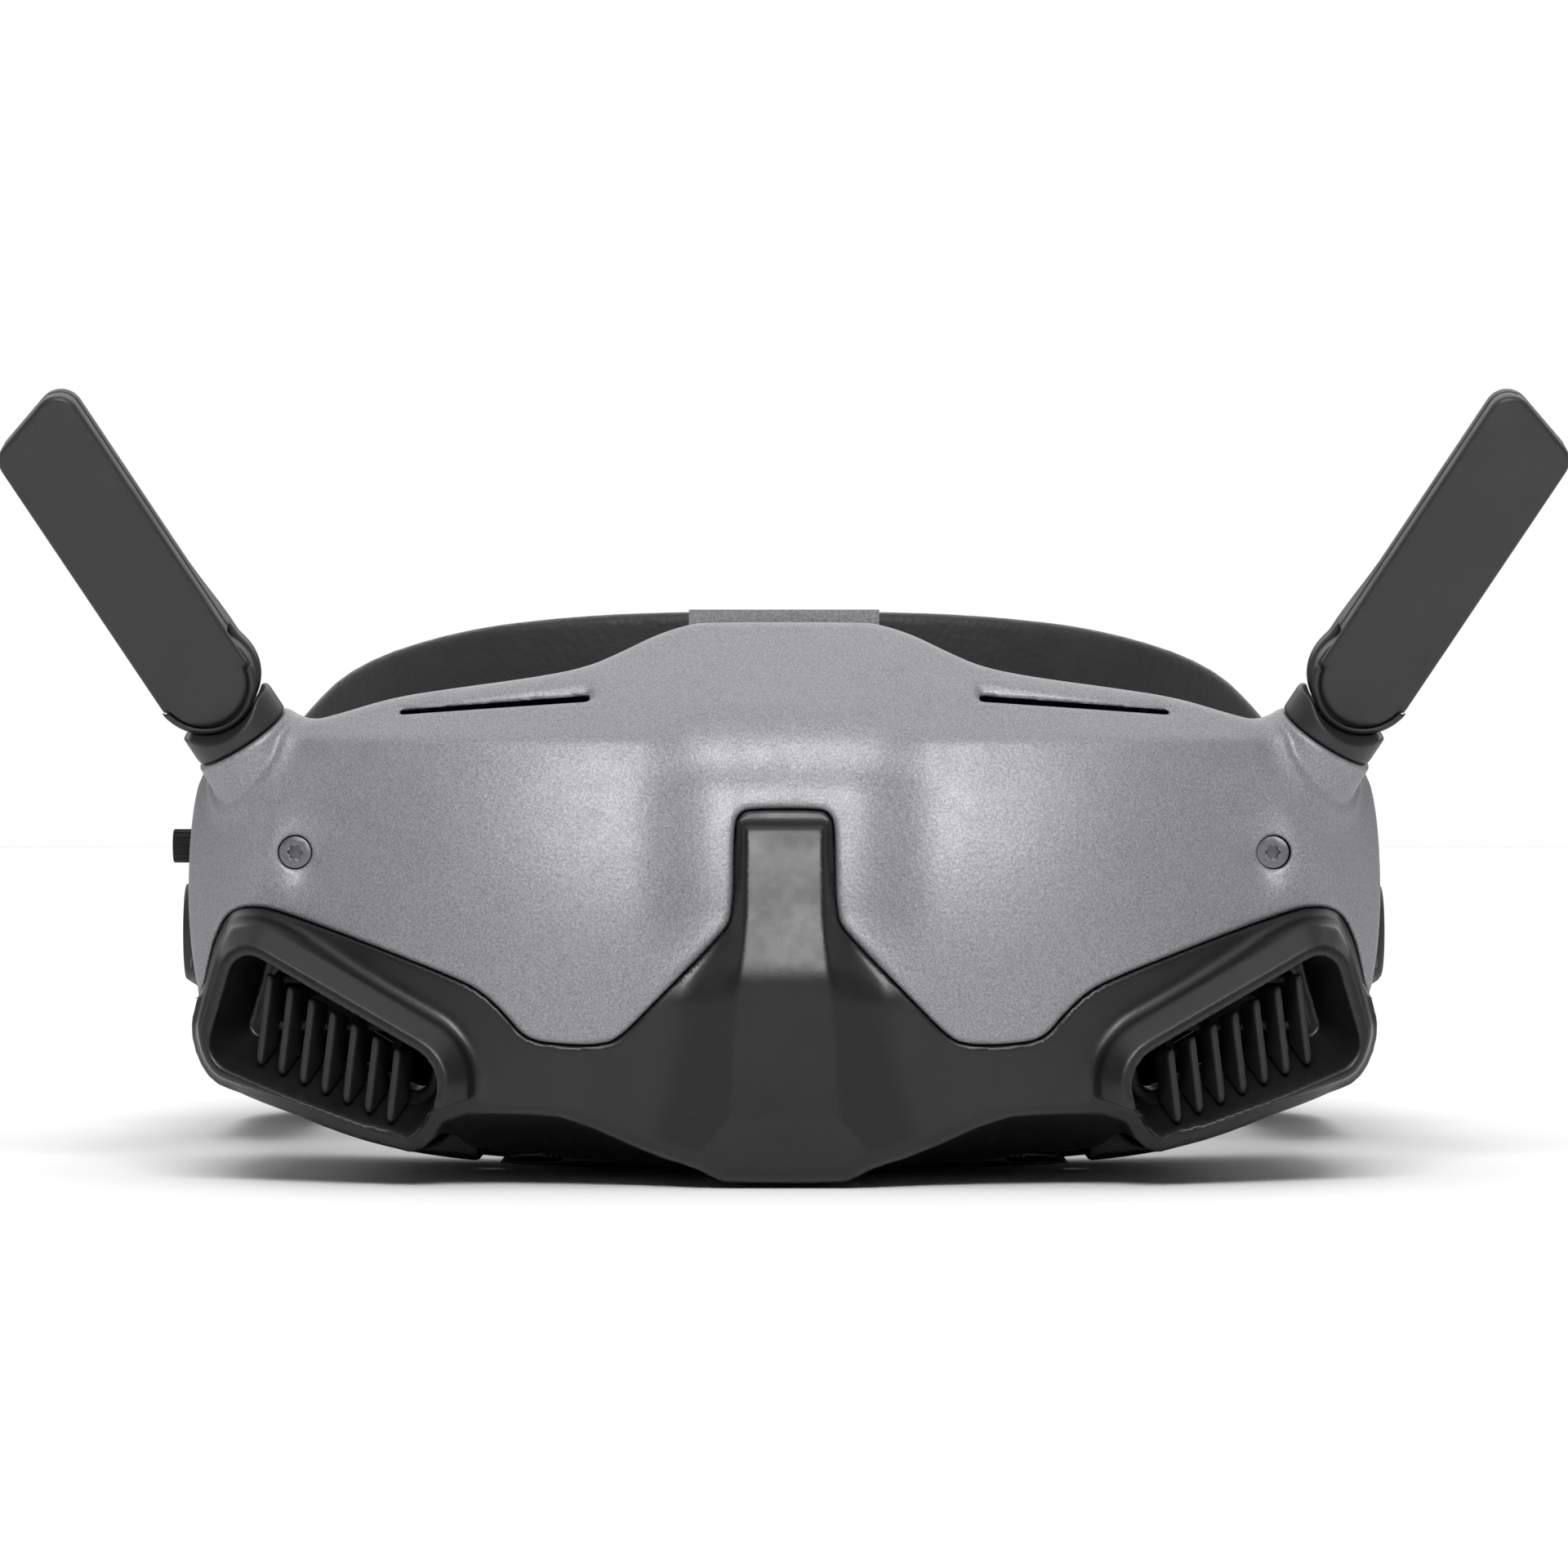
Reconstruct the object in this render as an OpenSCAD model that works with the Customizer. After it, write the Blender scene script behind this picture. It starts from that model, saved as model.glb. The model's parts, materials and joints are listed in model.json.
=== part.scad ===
// FPV video goggles: a sculpted front cover over a dark lower frame with two
// air intakes, two swivelling fold-down antennas, sliding eyepieces, a face
// cushion and a pivoting headband that carries the battery.
// Axes: +Z up, the wearer looks along -Y, X runs across the face. Inside the
// modules Y counts back from the front of the nose ridge; place() then puts
// the origin under the middle of the whole object.

/* [Body] */
// Width over the front cover
body_w = 157; // [145:1:190]
// Height of the goggle body, chin to top of the face cushion
body_h = 75; // [70:1:90]
// Depth from the nose ridge to the cushion at the temples
body_d = 104; // [98:1:122]
// Wall of the moulded shells
wall = 1.8; // [1.4:0.1:2.2]
// Gap at the seams between shells
seam = 0.3; // [0.2:0.05:0.5]

/* [Optics] */
// Distance between the two eyepiece axes, pushed together
ipd = 56; // [55:0.5:60]
// Outward travel of each eyepiece
ipd_travel = 8; // [5:0.5:9]
// Diameter of an eyepiece lens
lens_d = 33; // [27:0.5:34]
// Height of the eyepiece axes above the chin
lens_z = 37; // [36:0.5:39]

/* [Antennas] */
// Diameter of an antenna neck
neck_d = 13.2; // [11:0.1:16]
// Width of an antenna paddle
paddle_w = 13.2; // [11:0.1:16]
// Length of a paddle from its fold axis to its tip
paddle_l = 44; // [30:0.5:60]
// Thickness of a paddle
paddle_t = 5.2; // [4.4:0.1:6.4]

/* [Air] */
// Blades in each intake
blade_n = 7; // [5:1:8]
// Diameter of a fan rotor
fan_d = 16.5; // [13:0.5:17]

/* [Headband] */
// Inside distance from the brow cushion to the rear pad
head_l = 178; // [165:1:214]
// Height of the band at the battery
band_h = 30; // [24:1:36]
// Thickness of a side arm
arm_t = 2.6; // [2.2:0.1:4]
// Height of a side arm
arm_h = 13; // [10:0.5:16]
// Travel of the rear unit along the arms, each way
fit_travel = 18; // [10:1:22]

/* [Hidden] */
$fn = 48;

// Scale of the sculpted outlines, which are drawn for a 157 x 75 mm body.
sx = body_w / 157;
sz = body_h / 75;
half_w = body_w / 2;

// Depth planes, counted back from the nose ridge.
split_y = body_d - 58;          // rear edge of the front cover
brow_y = body_d - 28;           // rear face of the cushion at the brow
temple_y = body_d;              // rear face of the cushion at the temples
cushion_t = 15;                 // cushion thickness
frame_t = 3;                    // cushion frame thickness
panel_y = split_y + 6;          // front face of the lens panel
panel_t = 2;
// The face curve runs through the brow and the temples.
face_x = half_w - 9;
face_sag = temple_y - brow_y;
face_r = (face_x * face_x + face_sag * face_sag) / (2 * face_sag);

// Antenna stance: the neck stands on the cover's upper corner.
ant_x = 70.4 * sx;
ant_y = 31;
ant_z = 56.9 * sz;
ant_tilt = 33;                  // outwards from vertical
ant_lean = 14;                  // forwards from vertical
ant_yaw = 12;                   // paddle face turned outwards
hinge_up = 9.2;                 // fold axis above the neck's seat
knuckle_r = paddle_w / 2 + 0.4;
tongue_t = 2.6;                 // neck tongue between the paddle's halves

// Headband.
pivot_y = body_d - 26;          // pivot of the arms
pivot_z = 30.7 * sz;
pivot_d = 5;
arm_x = half_w + 0.5;           // inner face of the arms
arm_l = 92;
cushion_x = 75.6 * sx;          // half-width of the cushion
tip_y = brow_y + face_r - sqrt(face_r * face_r - cushion_x * cushion_x);
leg_y = tip_y + fit_travel + 3;                   // front end of the rear unit's legs
leg_wall = 1.6;
eye_z = lens_z * sz;            // the eyepieces keep their place in a taller body
fit_gap = 0.3;                  // clearance of the arms in the rear unit
band_r = arm_x + arm_t + fit_gap + leg_wall;      // outer radius of the rear unit
pad_t = 7;
cell_t = 12.5;                  // battery thickness
band_in = band_r - 2 * leg_wall - cell_t - 1.2;   // radius behind the rear pad
bow_y = brow_y + head_l + pad_t - band_in;        // centre of the rear bow
// The band slopes down until the bow's lower edge stands level with the chin.
rear_l = bow_y + band_r - pivot_y;
band_drop = asin(pivot_z / norm([rear_l, band_h / 2])) - atan(band_h / 2 / rear_l);
depth_all = pivot_y + rear_l * cos(band_drop) + band_h / 2 * sin(band_drop);

grey = [0.47, 0.47, 0.49];
black = [0.09, 0.09, 0.095];
dark = [0.15, 0.15, 0.155];
metal = [0.7, 0.7, 0.72];

module place() translate([0, -depth_all / 2, 0]) children();

// ---------------------------------------------------------------- helpers

function clamp01(t) = min(1, max(0, t));
function ease(a, b, t) = let (u = clamp01((t - a) / (b - a))) u * u * (3 - 2 * u);
// 0 below zero and t above it, rounded over +-h.
function ramp(t, h) = t < -h ? 0 : t > h ? t : (t + h) * (t + h) / (4 * h);
function sized(points) = [for (p = points) [p[0] * sx, p[1] * sz]];
// Points on the +X side, then their mirror images; points on the axis once.
function mirrored(points) = concat(points, [
    for (i = [len(points) - 1:-1:0]) if (points[i][0] > 0) [-points[i][0], points[i][1]]]);
function unit(v) = v / norm(v);
// A clockwise outline moved inwards by d.
function inset(p, d) = let (n = len(p)) [
    for (i = [0:n - 1]) let (
        a = unit(p[i] - p[(i + n - 1) % n]),
        b = unit(p[(i + 1) % n] - p[i]),
        m = unit([a[1] + b[1], -a[0] - b[0]])
    ) p[i] + m * d / max(0.4, m * [a[1], -a[0]])];

module both() {
    children();
    mirror([1, 0, 0]) children();
}
// A frontal outline (x, z) as a prism from y0 back to y1.
module frontal(y0, y1)
    translate([0, y1, 0]) rotate([90, 0, 0]) linear_extrude(y1 - y0) children();
// A side outline (y, z) as a prism from x0 to x1.
module sideways(x0, x1)
    translate([x0, 0, 0]) rotate([90, 0, 90]) linear_extrude(x1 - x0) children();
module rod_x(x0, x1, d, y, z)
    translate([x0, y, z]) rotate([0, 90, 0]) cylinder(d = d, h = x1 - x0);
module rod_y(y0, y1, d, x, z)
    translate([x, y0, z]) rotate([-90, 0, 0]) cylinder(d = d, h = y1 - y0);
module block(x0, x1, y0, y1, z0, z1)
    translate([x0, y0, z0]) cube([x1 - x0, y1 - y0, z1 - z0]);

// ---------------------------------------------------- sculpted front skin

// Depth of the cover's surface at x, z: two lobes with a valley between them
// and a brow that slopes back to the top.
function skin_y(x, z) =
    let (u = abs(x) / sx, w = z / sz)
    2.5 + (u > 22 ? 0.0088 * pow(u - 22, 2) : 0)
    + (u > 66 ? 0.055 * pow(u - 66, 2) : 0)
    + (w > 26 ? 0.0085 * pow(w - 26, 2) : 0.003 * pow(26 - w, 2))
    + 0.95 * ramp(w - 56.5, 1.6)
    + 3.2 * ease(21, 35, w) * (1 - ease(49, 61, w)) * (1 - ease(8, 20, u));

// Nose ridge: a drafted blade whose face bends back above its middle.
function ridge_half(w) = w > 34 ? 5 : 5 + (34 - w) * 0.07;
function ridge_y(x, z) =
    let (u = abs(x) / sx, w = z / sz)
    0.4 * ramp(w - 26.5, 2) + 2.2 * ramp(w - 45.3, 0.3)
    + 0.5 * ramp(8.3 - w, 0.6)
    + max(0, u - ridge_half(w)) * (0.5 + 2.1 * ease(28, 40, w));
function frame_y(x, z) = min(skin_y(x, z) + 0.35, ridge_y(x, z));

// The space behind a surface y = f(x, z), back to the plane y = back.
module behind(f, back, step = 2.8) {
    nx = 2 * ceil((half_w + 1) / step);
    nz = ceil((body_h + 2) / step);
    xs = [for (i = [0:nx]) (half_w + 1.5) * (2 * i / nx - 1)];
    zs = [for (j = [0:nz]) -1 + (body_h + 2) * j / nz];
    n = (nx + 1) * (nz + 1);
    function at(i, j) = j * (nx + 1) + i;
    polyhedron(
        points = concat(
            [for (z = zs) for (x = xs) [x, min(f(x, z), back - 0.01), z]],
            [for (z = zs) for (x = xs) [x, back, z]]),
        faces = concat(
            [for (j = [0:nz - 1]) for (i = [0:nx - 1])
                [at(i, j), at(i, j + 1), at(i + 1, j + 1)]],
            [for (j = [0:nz - 1]) for (i = [0:nx - 1])
                [at(i, j), at(i + 1, j + 1), at(i + 1, j)]],
            [for (j = [0:nz - 1]) for (i = [0:nx - 1])
                [n + at(i, j), n + at(i + 1, j), n + at(i + 1, j + 1), n + at(i, j + 1)]],
            [for (i = [0:nx - 1]) [at(i, 0), at(i + 1, 0), n + at(i + 1, 0), n + at(i, 0)]],
            [for (i = [0:nx - 1])
                [at(i + 1, nz), at(i, nz), n + at(i, nz), n + at(i + 1, nz)]],
            [for (j = [0:nz - 1]) [at(0, j + 1), at(0, j), n + at(0, j), n + at(0, j + 1)]],
            [for (j = [0:nz - 1])
                [at(nx, j), at(nx, j + 1), n + at(nx, j + 1), n + at(nx, j)]]));
}

// ------------------------------------------------------ frontal outlines

// Seam between cover and lower frame, from the ridge's top to the flank.
seam_main = sized([
    [4.4, 47.7], [5.7, 47.1], [6.4, 45.6], [6.5, 34], [7.8, 31.9],
    [16.3, 23.3], [20.5, 19], [22.6, 17.9], [27, 17.8], [31.3, 18.2],
    [33.3, 19.2], [35.2, 21.5], [38.1, 24.3], [41.2, 26], [53.5, 30.6],
    [61.1, 33.2], [66.2, 34.8], [68.5, 35], [70.5, 34.8], [72.3, 33.8],
    [73.3, 32.2]]);
seam_line = concat(seam_main, sized([[74.5, 29.6], [76.2, 22]]));
// Flank and top of the cover, from the seam's end to the peak.
cover_top = sized([
    [77.6, 27], [78.5, 35.7], [78.1, 46.7], [76.6, 53], [70.2, 57.2],
    [60.2, 59.3], [57.2, 60.1], [50.5, 62.1], [41.4, 63.4], [32.4, 64.6],
    [25.7, 65.9], [21.1, 68], [16.7, 70.3], [12.5, 71.7], [10, 72]]);
// Bottom edge of the lower frame, from the chin to the flank.
frame_bottom = sized([
    [7.2, 0], [8.8, 0.6], [11.5, 2.1], [16.7, 3.5], [27.1, 8.2], [33.1, 8.7],
    [42.6, 8.6], [45, 4.6], [48.5, 3.2], [71.1, 10.7], [73.7, 12.1], [75.1, 14.4]]);
function reversed(p) = [for (i = [len(p) - 1:-1:0]) p[i]];
// All outlines run clockwise from the top.
cover_points = mirrored(concat(reversed(cover_top), reversed(seam_line)));
// The same without the cover's thin tip down the flank, which stays solid.
cover_core_points = mirrored(concat(
    reversed([for (i = [1:len(cover_top) - 1]) cover_top[i]]), reversed(seam_main)));
frame_points = mirrored(concat(seam_line, reversed(frame_bottom)));
front_points = mirrored(concat(reversed(cover_top), reversed(frame_bottom)));
housing_points = mirrored(sized([
    [10, 70.4], [13, 69.9], [21.5, 66.9], [26, 65], [32.4, 63.6], [41.4, 62.4],
    [50.5, 61.1], [57.2, 59.2], [60.2, 58.4], [70, 56.4], [76.2, 52.4],
    [78, 46.4], [78.5, 35.7], [78.2, 27], [76.8, 19], [72.6, 11.8],
    [62.8, 6.4], [50.7, 2.4], [34.5, 0.6], [19.3, 0.2]]));
cushion_points = mirrored(sized([
    [12.2, 74.9], [28.8, 74.3], [44.3, 72.5], [58.8, 68], [66.5, 60.9], [73, 52],
    [75.6, 42], [75.6, 30], [74, 20], [69, 11], [58, 5], [40, 1.6], [24, 1.2],
    [18.5, 4], [14.5, 13], [9, 21.5], [3, 24.6]]));
eye_points = mirrored(sized([
    [20, 61.5], [40, 60.5], [54, 56], [61, 48.5], [63.5, 38], [61.5, 26],
    [55, 17.5], [42, 13.2], [28, 13], [23.5, 15.5], [18, 24.5], [11.5, 30.5],
    [4, 32.6]]));

// Everything in front of (inside) the face curve moved forwards by d.
module face_curve(d)
    translate([0, brow_y + face_r, -5])
        cylinder(r = face_r + d, h = body_h + 10, $fn = 180);

// ------------------------------------------------------------ air intakes

// Rim of an intake as seen from the front: corner centres and radii.
pod_corners = [
    [-68.4 * sx, 25.9 * sz, 4.2], [-69.8 * sx, 17.7 * sz, 5.2],
    [-49.6 * sx, 10.8 * sz, 6.6], [-49.2 * sx, 12.5 * sz, 6.6]];
pod_face = 0.42;                // slope of the rim plane towards the flank
pod_rim = 1.3;                  // width of the rim
pod_deep = 9;                   // depth of the recess
pod_drift = [2.6, 2.2];         // the recess drifts inwards and up as it deepens
module pod_outline(grow)
    hull() for (c = pod_corners) translate([c[0], c[1]])
        circle(r = c[2] + grow, $fn = 32);
// A thin slice of the outline in the rim's plane, depth behind the rim.
module pod_slice(grow, depth)
    pod_plane(depth) frontal(0, 0.02) pod_outline(grow);
module pod_plane(depth = 0)
    multmatrix([
        [1, 0, 0, pod_drift[0] * depth / pod_deep],
        [-pod_face, 1, 0, 2 - pod_face * 44 * sx + depth],
        [0, 0, 1, pod_drift[1] * depth / pod_deep],
        [0, 0, 0, 1]])
        children();
module pod_body() {
    hull() {
        pod_slice(0, 0);
        pod_slice(2.4, 4);
    }
    hull() {
        pod_slice(0.4, 1);
        pod_slice(0.4, pod_deep + 1.5);
    }
}
module pod_recess()
    hull() {
        pod_slice(-pod_rim, -0.1);
        pod_slice(-pod_rim - 2.2, pod_deep);
    }
// Air passage from the recess to the fan.
module pod_passage()
    hull() {
        pod_slice(-pod_rim - 2.6, pod_deep - 1);
        pod_slice(-pod_rim - 2.9, pod_deep + 4);
    }

// ---------------------------------------------------------- front shells

module ant_frame()
    translate([-ant_x, ant_y, ant_z]) rotate([0, -ant_tilt, 0])
        rotate([ant_lean, 0, 0]) rotate([0, 0, -ant_yaw]) children();

spigot_d = 8;                   // neck spigot in the boss
spigot_l = 9;
boss_d = neck_d + 0.8;
module ant_boss()
    ant_frame() hull() {
        translate([0, 0, -0.4]) cylinder(d = boss_d, h = 0.4, $fn = 32);
        translate([0, 1, -8]) sphere(d = boss_d + 1, $fn = 24);
    }

cover_screw_x = -63 * sx;
cover_screw_z = 42 * sz;
cover_screw_y = skin_y(cover_screw_x, cover_screw_z);
screw_head_d = 4.1;
post_y = split_y - 10;          // meeting plane of the screw posts
module screw_post()
    hull() {
        rod_y(cover_screw_y + 0.6, post_y, 5.4, cover_screw_x, cover_screw_z, $fn = 24);
        rod_y(post_y - 1, post_y, 6.4, cover_screw_x, cover_screw_z, $fn = 24);
    }
module cover_rib(x)
    hull() {
        translate([x, skin_y(x, 48 * sz) + 0.8, 46 * sz]) cube([1, 2.4, 2]);
        translate([x, skin_y(x, 55 * sz) + 0.8, 54 * sz]) cube([1, 2.4, 2]);
    }
// Slot through the plateau below the cover's top edge.
module top_slot(grow, y0, y1)
    hull() {
        rod_y(y0, y1, 1.7 + 2 * grow, -49.2 * sx, 60.1 * sz, $fn = 16);
        rod_y(y0, y1, 2.2 + 2 * grow, -24.6 * sx, 62.4 * sz, $fn = 16);
    }

module front_cover() color(grey) difference() {
    union() {
        difference() {
            intersection() {
                behind(function(x, z) skin_y(x, z), split_y);
                frontal(-1, split_y) polygon(cover_points);
            }
            intersection() {
                behind(function(x, z) skin_y(x, z) + wall, split_y + 1);
                frontal(-1, split_y + 1) polygon(inset(cover_core_points, wall));
            }
            intersection() {
                behind(function(x, z) skin_y(x, z) + 8, split_y + 1);
                frontal(-1, split_y + 1) polygon(inset(front_points, wall));
            }
        }
        both() intersection() {
            union() {
                screw_post();
                cover_rib(-52 * sx);
                cover_rib(-40 * sx);
                cover_rib(-28 * sx);
            }
            behind(function(x, z) skin_y(x, z) + 0.5, split_y);
        }
        both() ant_boss();
    }
    both() {
        ant_frame() translate([0, 0, -spigot_l - 1])
            cylinder(d = spigot_d + 0.1, h = spigot_l + 2);
        ant_frame() translate([0, 0, -spigot_l - 14]) cylinder(d = 11.6, h = 14);
        ant_frame() translate([0, 0, 0.1]) cylinder(d = neck_d + 0.8, h = 5);
        rod_y(-1, cover_screw_y + 2.7, screw_head_d + 0.4, cover_screw_x, cover_screw_z);
        rod_y(0, split_y, 2.3, cover_screw_x, cover_screw_z);
        top_slot(0, -1, split_y - 10);
    }
}

module lower_frame() color(black) difference() {
    union() {
        difference() {
            intersection() {
                behind(function(x, z) frame_y(x, z), split_y);
                frontal(-1, split_y) polygon(inset(frame_points, seam));
            }
            intersection() {
                behind(function(x, z) frame_y(x, z) + wall, split_y + 1);
                frontal(-1, split_y + 1) polygon(inset(frame_points, wall + seam));
            }
            intersection() {
                behind(function(x, z) skin_y(x, z) + 8, split_y + 1);
                frontal(-1, split_y + 1) polygon(inset(front_points, wall + seam));
            }
        }
        both() intersection() {
            pod_body();
            frontal(-1, split_y) polygon(inset(frame_points, seam));
        }
        // Flat foot under the chin.
        translate([-7 * sx, 3, 0]) cube([14 * sx, split_y - 3, wall]);
    }
    both() pod_recess();
    both() pod_passage();
}

// Blades across an intake, tied together by two bars behind them.
grille_gap = 0.15;
module grille_space()
    hull() {
        pod_slice(-pod_rim - grille_gap - 0.6, 2.4);
        pod_slice(-pod_rim - grille_gap - 2.05, pod_deep - 0.6);
    }
module vent_grille() color(dark) {
    pitch = 17.9 * sx / (blade_n - 1);
    intersection() {
        union() {
            for (i = [0:blade_n - 1])
                translate([-66.8 * sx + i * pitch - 0.5, 0, 0]) cube([1, 60, 60]);
            for (z = [17.5, 23.5]) pod_plane()
                block(-80, -30, pod_deep - 2.2, pod_deep + 2, z * sz, z * sz + 1);
        }
        grille_space();
    }
}

// Six-lobed screws that hold the cover to the housing's posts.
module cover_screws() color(dark) both()
    translate([cover_screw_x, cover_screw_y + 1.1, cover_screw_z]) rotate([-90, 0, 0])
        difference() {
            union() {
                cylinder(d = screw_head_d, h = 1.6);
                cylinder(d = 2, h = post_y - cover_screw_y + 5);
            }
            translate([0, 0, -1]) cylinder(d = 1.5, h = 2);
            for (a = [0:60:300]) rotate([0, 0, a]) translate([0.75, 0, -1])
                cylinder(d = 0.5, h = 2, $fn = 16);
        }

// Dust screens under the two slots in the plateau.
screen_y = 30;
module top_screens() color(dark) both() difference() {
    intersection() {
        top_slot(1.2, screen_y, screen_y + 1);
        frontal(0, split_y) polygon(inset(cover_points, wall + 0.1));
    }
    for (i = [0:10]) translate([-47.4 * sx + i * 2.2 * sx, 0, 0])
        block(0, 1.2, screen_y - 1, screen_y + 2, 59.9 * sz, 62.4 * sz);
}

// --------------------------------------------------------- rear housing

side_y = panel_y + panel_t + 6.4; // controls and sockets sit behind the lens panel
button_d = [6, 6, 3];           // back, record and link buttons
button_y = [side_y + 9.5, side_y, side_y + 7.5];
button_z = [42.5 * sz, 33 * sz, 33.5 * sz];
stick_y = side_y;
stick_z = 42.5 * sz;
usb_z = 29 * sz;                // charging and data socket
card_z = 36 * sz;
audio_z = 45 * sz;
audio_y = side_y + 2;
usb_w = 9.2;                    // outside of the sockets' metal shells
usb_h = 3.4;
card_w = 12.2;
card_h = 1.8;
audio_d = 5.8;
lip_y = split_y - 6;            // front face of the under-lip
slot_x = 29.3;                  // inner end of the slot for the eyepiece grip
slot_l = ipd_travel + 2.6;
grip_x = ipd / 2 + 2.6;
module rear_housing() color(dark) difference() {
    union() {
        difference() {
            frontal(split_y + 0.2, temple_y) polygon(housing_points);
            frontal(split_y, temple_y + 1) polygon(inset(housing_points, wall));
        }
        // Ledge for the lens panel.
        difference() {
            frontal(panel_y - 2, panel_y) polygon(inset(housing_points, wall / 2));
            frontal(panel_y - 3, panel_y + 1) polygon(inset(housing_points, wall + 1.6));
            block(-rod_end - 1, rod_end + 1, panel_y - 3, panel_y + 1, eye_z, body_h);
        }
        // Lip under the lower frame, with the grip slots.
        difference() {
            frontal(lip_y, split_y + 0.2) polygon(housing_points);
            frontal(lip_y - 1, split_y + 1) polygon(inset(front_points, -0.2));
        }
        both() {
            rod_y(post_y + 0.1, panel_y - 1, 5.4, cover_screw_x, cover_screw_z);
            block(-half_w + 1.2, cover_screw_x - 1.6, panel_y - 6, panel_y - 1,
                  cover_screw_z - 1, cover_screw_z + 1);
            rod_x(-half_w + 1, -half_w + 6, 10, pivot_y, pivot_z);
        }
    }
    face_curve(cushion_t + frame_t);
    both() {
        rod_y(post_y - 1, panel_y - 2, 2, cover_screw_x, cover_screw_z);
        rod_x(-half_w - 2, -half_w + 7, pivot_d, pivot_y, pivot_z);
        block(-slot_x - slot_l, -slot_x, lip_y - 1, split_y + 9, 1.4, 3.6);
    }
    rod_x(-half_w - 3, -half_w + 4, 5.6, stick_y, stick_z);
    for (i = [0:2])
        rod_x(-half_w - 3, -half_w + 6, button_d[i] + 0.2, button_y[i], button_z[i]);
    port_hole() port_shape(usb_w + 0.2, usb_h + 0.2, usb_z);
    port_hole() port_shape(card_w + 0.2, card_h + 0.2, card_z);
    rod_x(half_w - 6, half_w + 3, audio_d + 0.2, audio_y, audio_z);
}

// A flat socket's outline (y, z), and a hole of it through the +X flank.
module port_shape(w, h, z) translate([side_y - w / 2, z - h / 2]) square([w, h]);
module port_hole() sideways(half_w - 6, half_w + 3) children();

// Loop for an over-head strap behind the cover's peak.
loop_w = 25.2;
module strap_loop() color(dark) difference() {
    block(-loop_w / 2, loop_w / 2, split_y + 1, split_y + 5, 70.4 * sz, 70.4 * sz + 3.5);
    block(-loop_w / 2 + 2, loop_w / 2 - 2, split_y, split_y + 6,
          70.4 * sz + 0.5, 70.4 * sz + 1.7);
}

// ------------------------------------------------------- optics carrier

barrel_d = lens_d + 5;
barrel_y = panel_y - 19;        // front face of the barrels
lens_y = panel_y - 5;
rod_d = 2.5;
rod_y0 = barrel_y + 7;
rod_zs = [eye_z - barrel_d / 2 - 2.4, eye_z + barrel_d / 2 + 0.9];
rod_end = ipd / 2 + ipd_travel + 11;
module lens_panel() color(dark) difference() {
    union() {
        frontal(panel_y, panel_y + panel_t) polygon(inset(housing_points, wall + 0.1));
        both() for (z = rod_zs)
            block(-rod_end, -rod_end + 3, rod_y0 - 3, panel_y + 1, z - 2.6, z + 2.6);
        for (z = [24 * sz, 50 * sz]) rod_y(board_y + board_t, panel_y + 1, 4, 0, z);
    }
    both() {
        for (s = [0, ipd_travel])
            rod_y(panel_y - 1, panel_y + 3, barrel_d + 1, -ipd / 2 - s, eye_z);
        block(-ipd / 2 - ipd_travel, -ipd / 2, panel_y - 1, panel_y + 3,
              eye_z - barrel_d / 2 - 0.5, eye_z + barrel_d / 2 + 0.5);
        for (z = rod_zs) rod_x(-rod_end - 1, -rod_end + 4, rod_d, rod_y0, z);
    }
}
module guide_rods() color(metal)
    for (z = rod_zs) rod_x(-rod_end, rod_end, rod_d, rod_y0, z);

module barrel() color(black) difference() {
    union() {
        rod_y(barrel_y, panel_y + 4, barrel_d, -ipd / 2, eye_z);
        block(-ipd / 2 - 6, -ipd / 2 + 6, rod_y0 - 3, rod_y0 + 3,
              rod_zs[0] - 2.6, rod_zs[1] + 2.6);
    }
    rod_y(barrel_y + 1.6, lens_y, lens_d - 3, -ipd / 2, eye_z);
    rod_y(lens_y - 0.5, panel_y + 5, lens_d + 0.06, -ipd / 2, eye_z);
    block(-ipd / 2 - 11, -ipd / 2 + 11, barrel_y - 1, barrel_y + 3, eye_z - 9, eye_z + 9);
    for (z = rod_zs) rod_x(-ipd / 2 - 7, -ipd / 2 + 7, rod_d + 0.1, rod_y0, z);
}
module lens() color([0.75, 0.8, 0.82]) intersection() {
    rod_y(lens_y - 0.5, lens_y + 8, lens_d, -ipd / 2, eye_z);
    translate([-ipd / 2, lens_y - 36, eye_z]) sphere(r = 42, $fn = 96);
}
module display() color(black) {
    block(-ipd / 2 - 12.5, -ipd / 2 + 12.5, barrel_y - 4, barrel_y,
          eye_z - 10.5, eye_z + 10.5);
}
// Finger grip that reaches down and out through the slot in the lip.
module ipd_grip() color(dark) {
    block(-grip_x - 1.1, -grip_x + 1.1, split_y + 0.6, split_y + 4, 1.8,
          rod_zs[0] - 2.6);
    block(-grip_x - 1.1, -grip_x + 1.1, rod_y0 - 1, split_y + 1,
          rod_zs[0] - 4.4, rod_zs[0] - 2.6);
    block(-grip_x - 1.1, -grip_x + 1.1, lip_y - 1.6, split_y + 1, 1.8, 3.2);
    for (i = [0:2]) block(-grip_x - 1.1 + i * 0.8, -grip_x - 0.5 + i * 0.8,
                          lip_y - 2.1, lip_y - 1.6, 1.8, 3.2);
}

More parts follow.
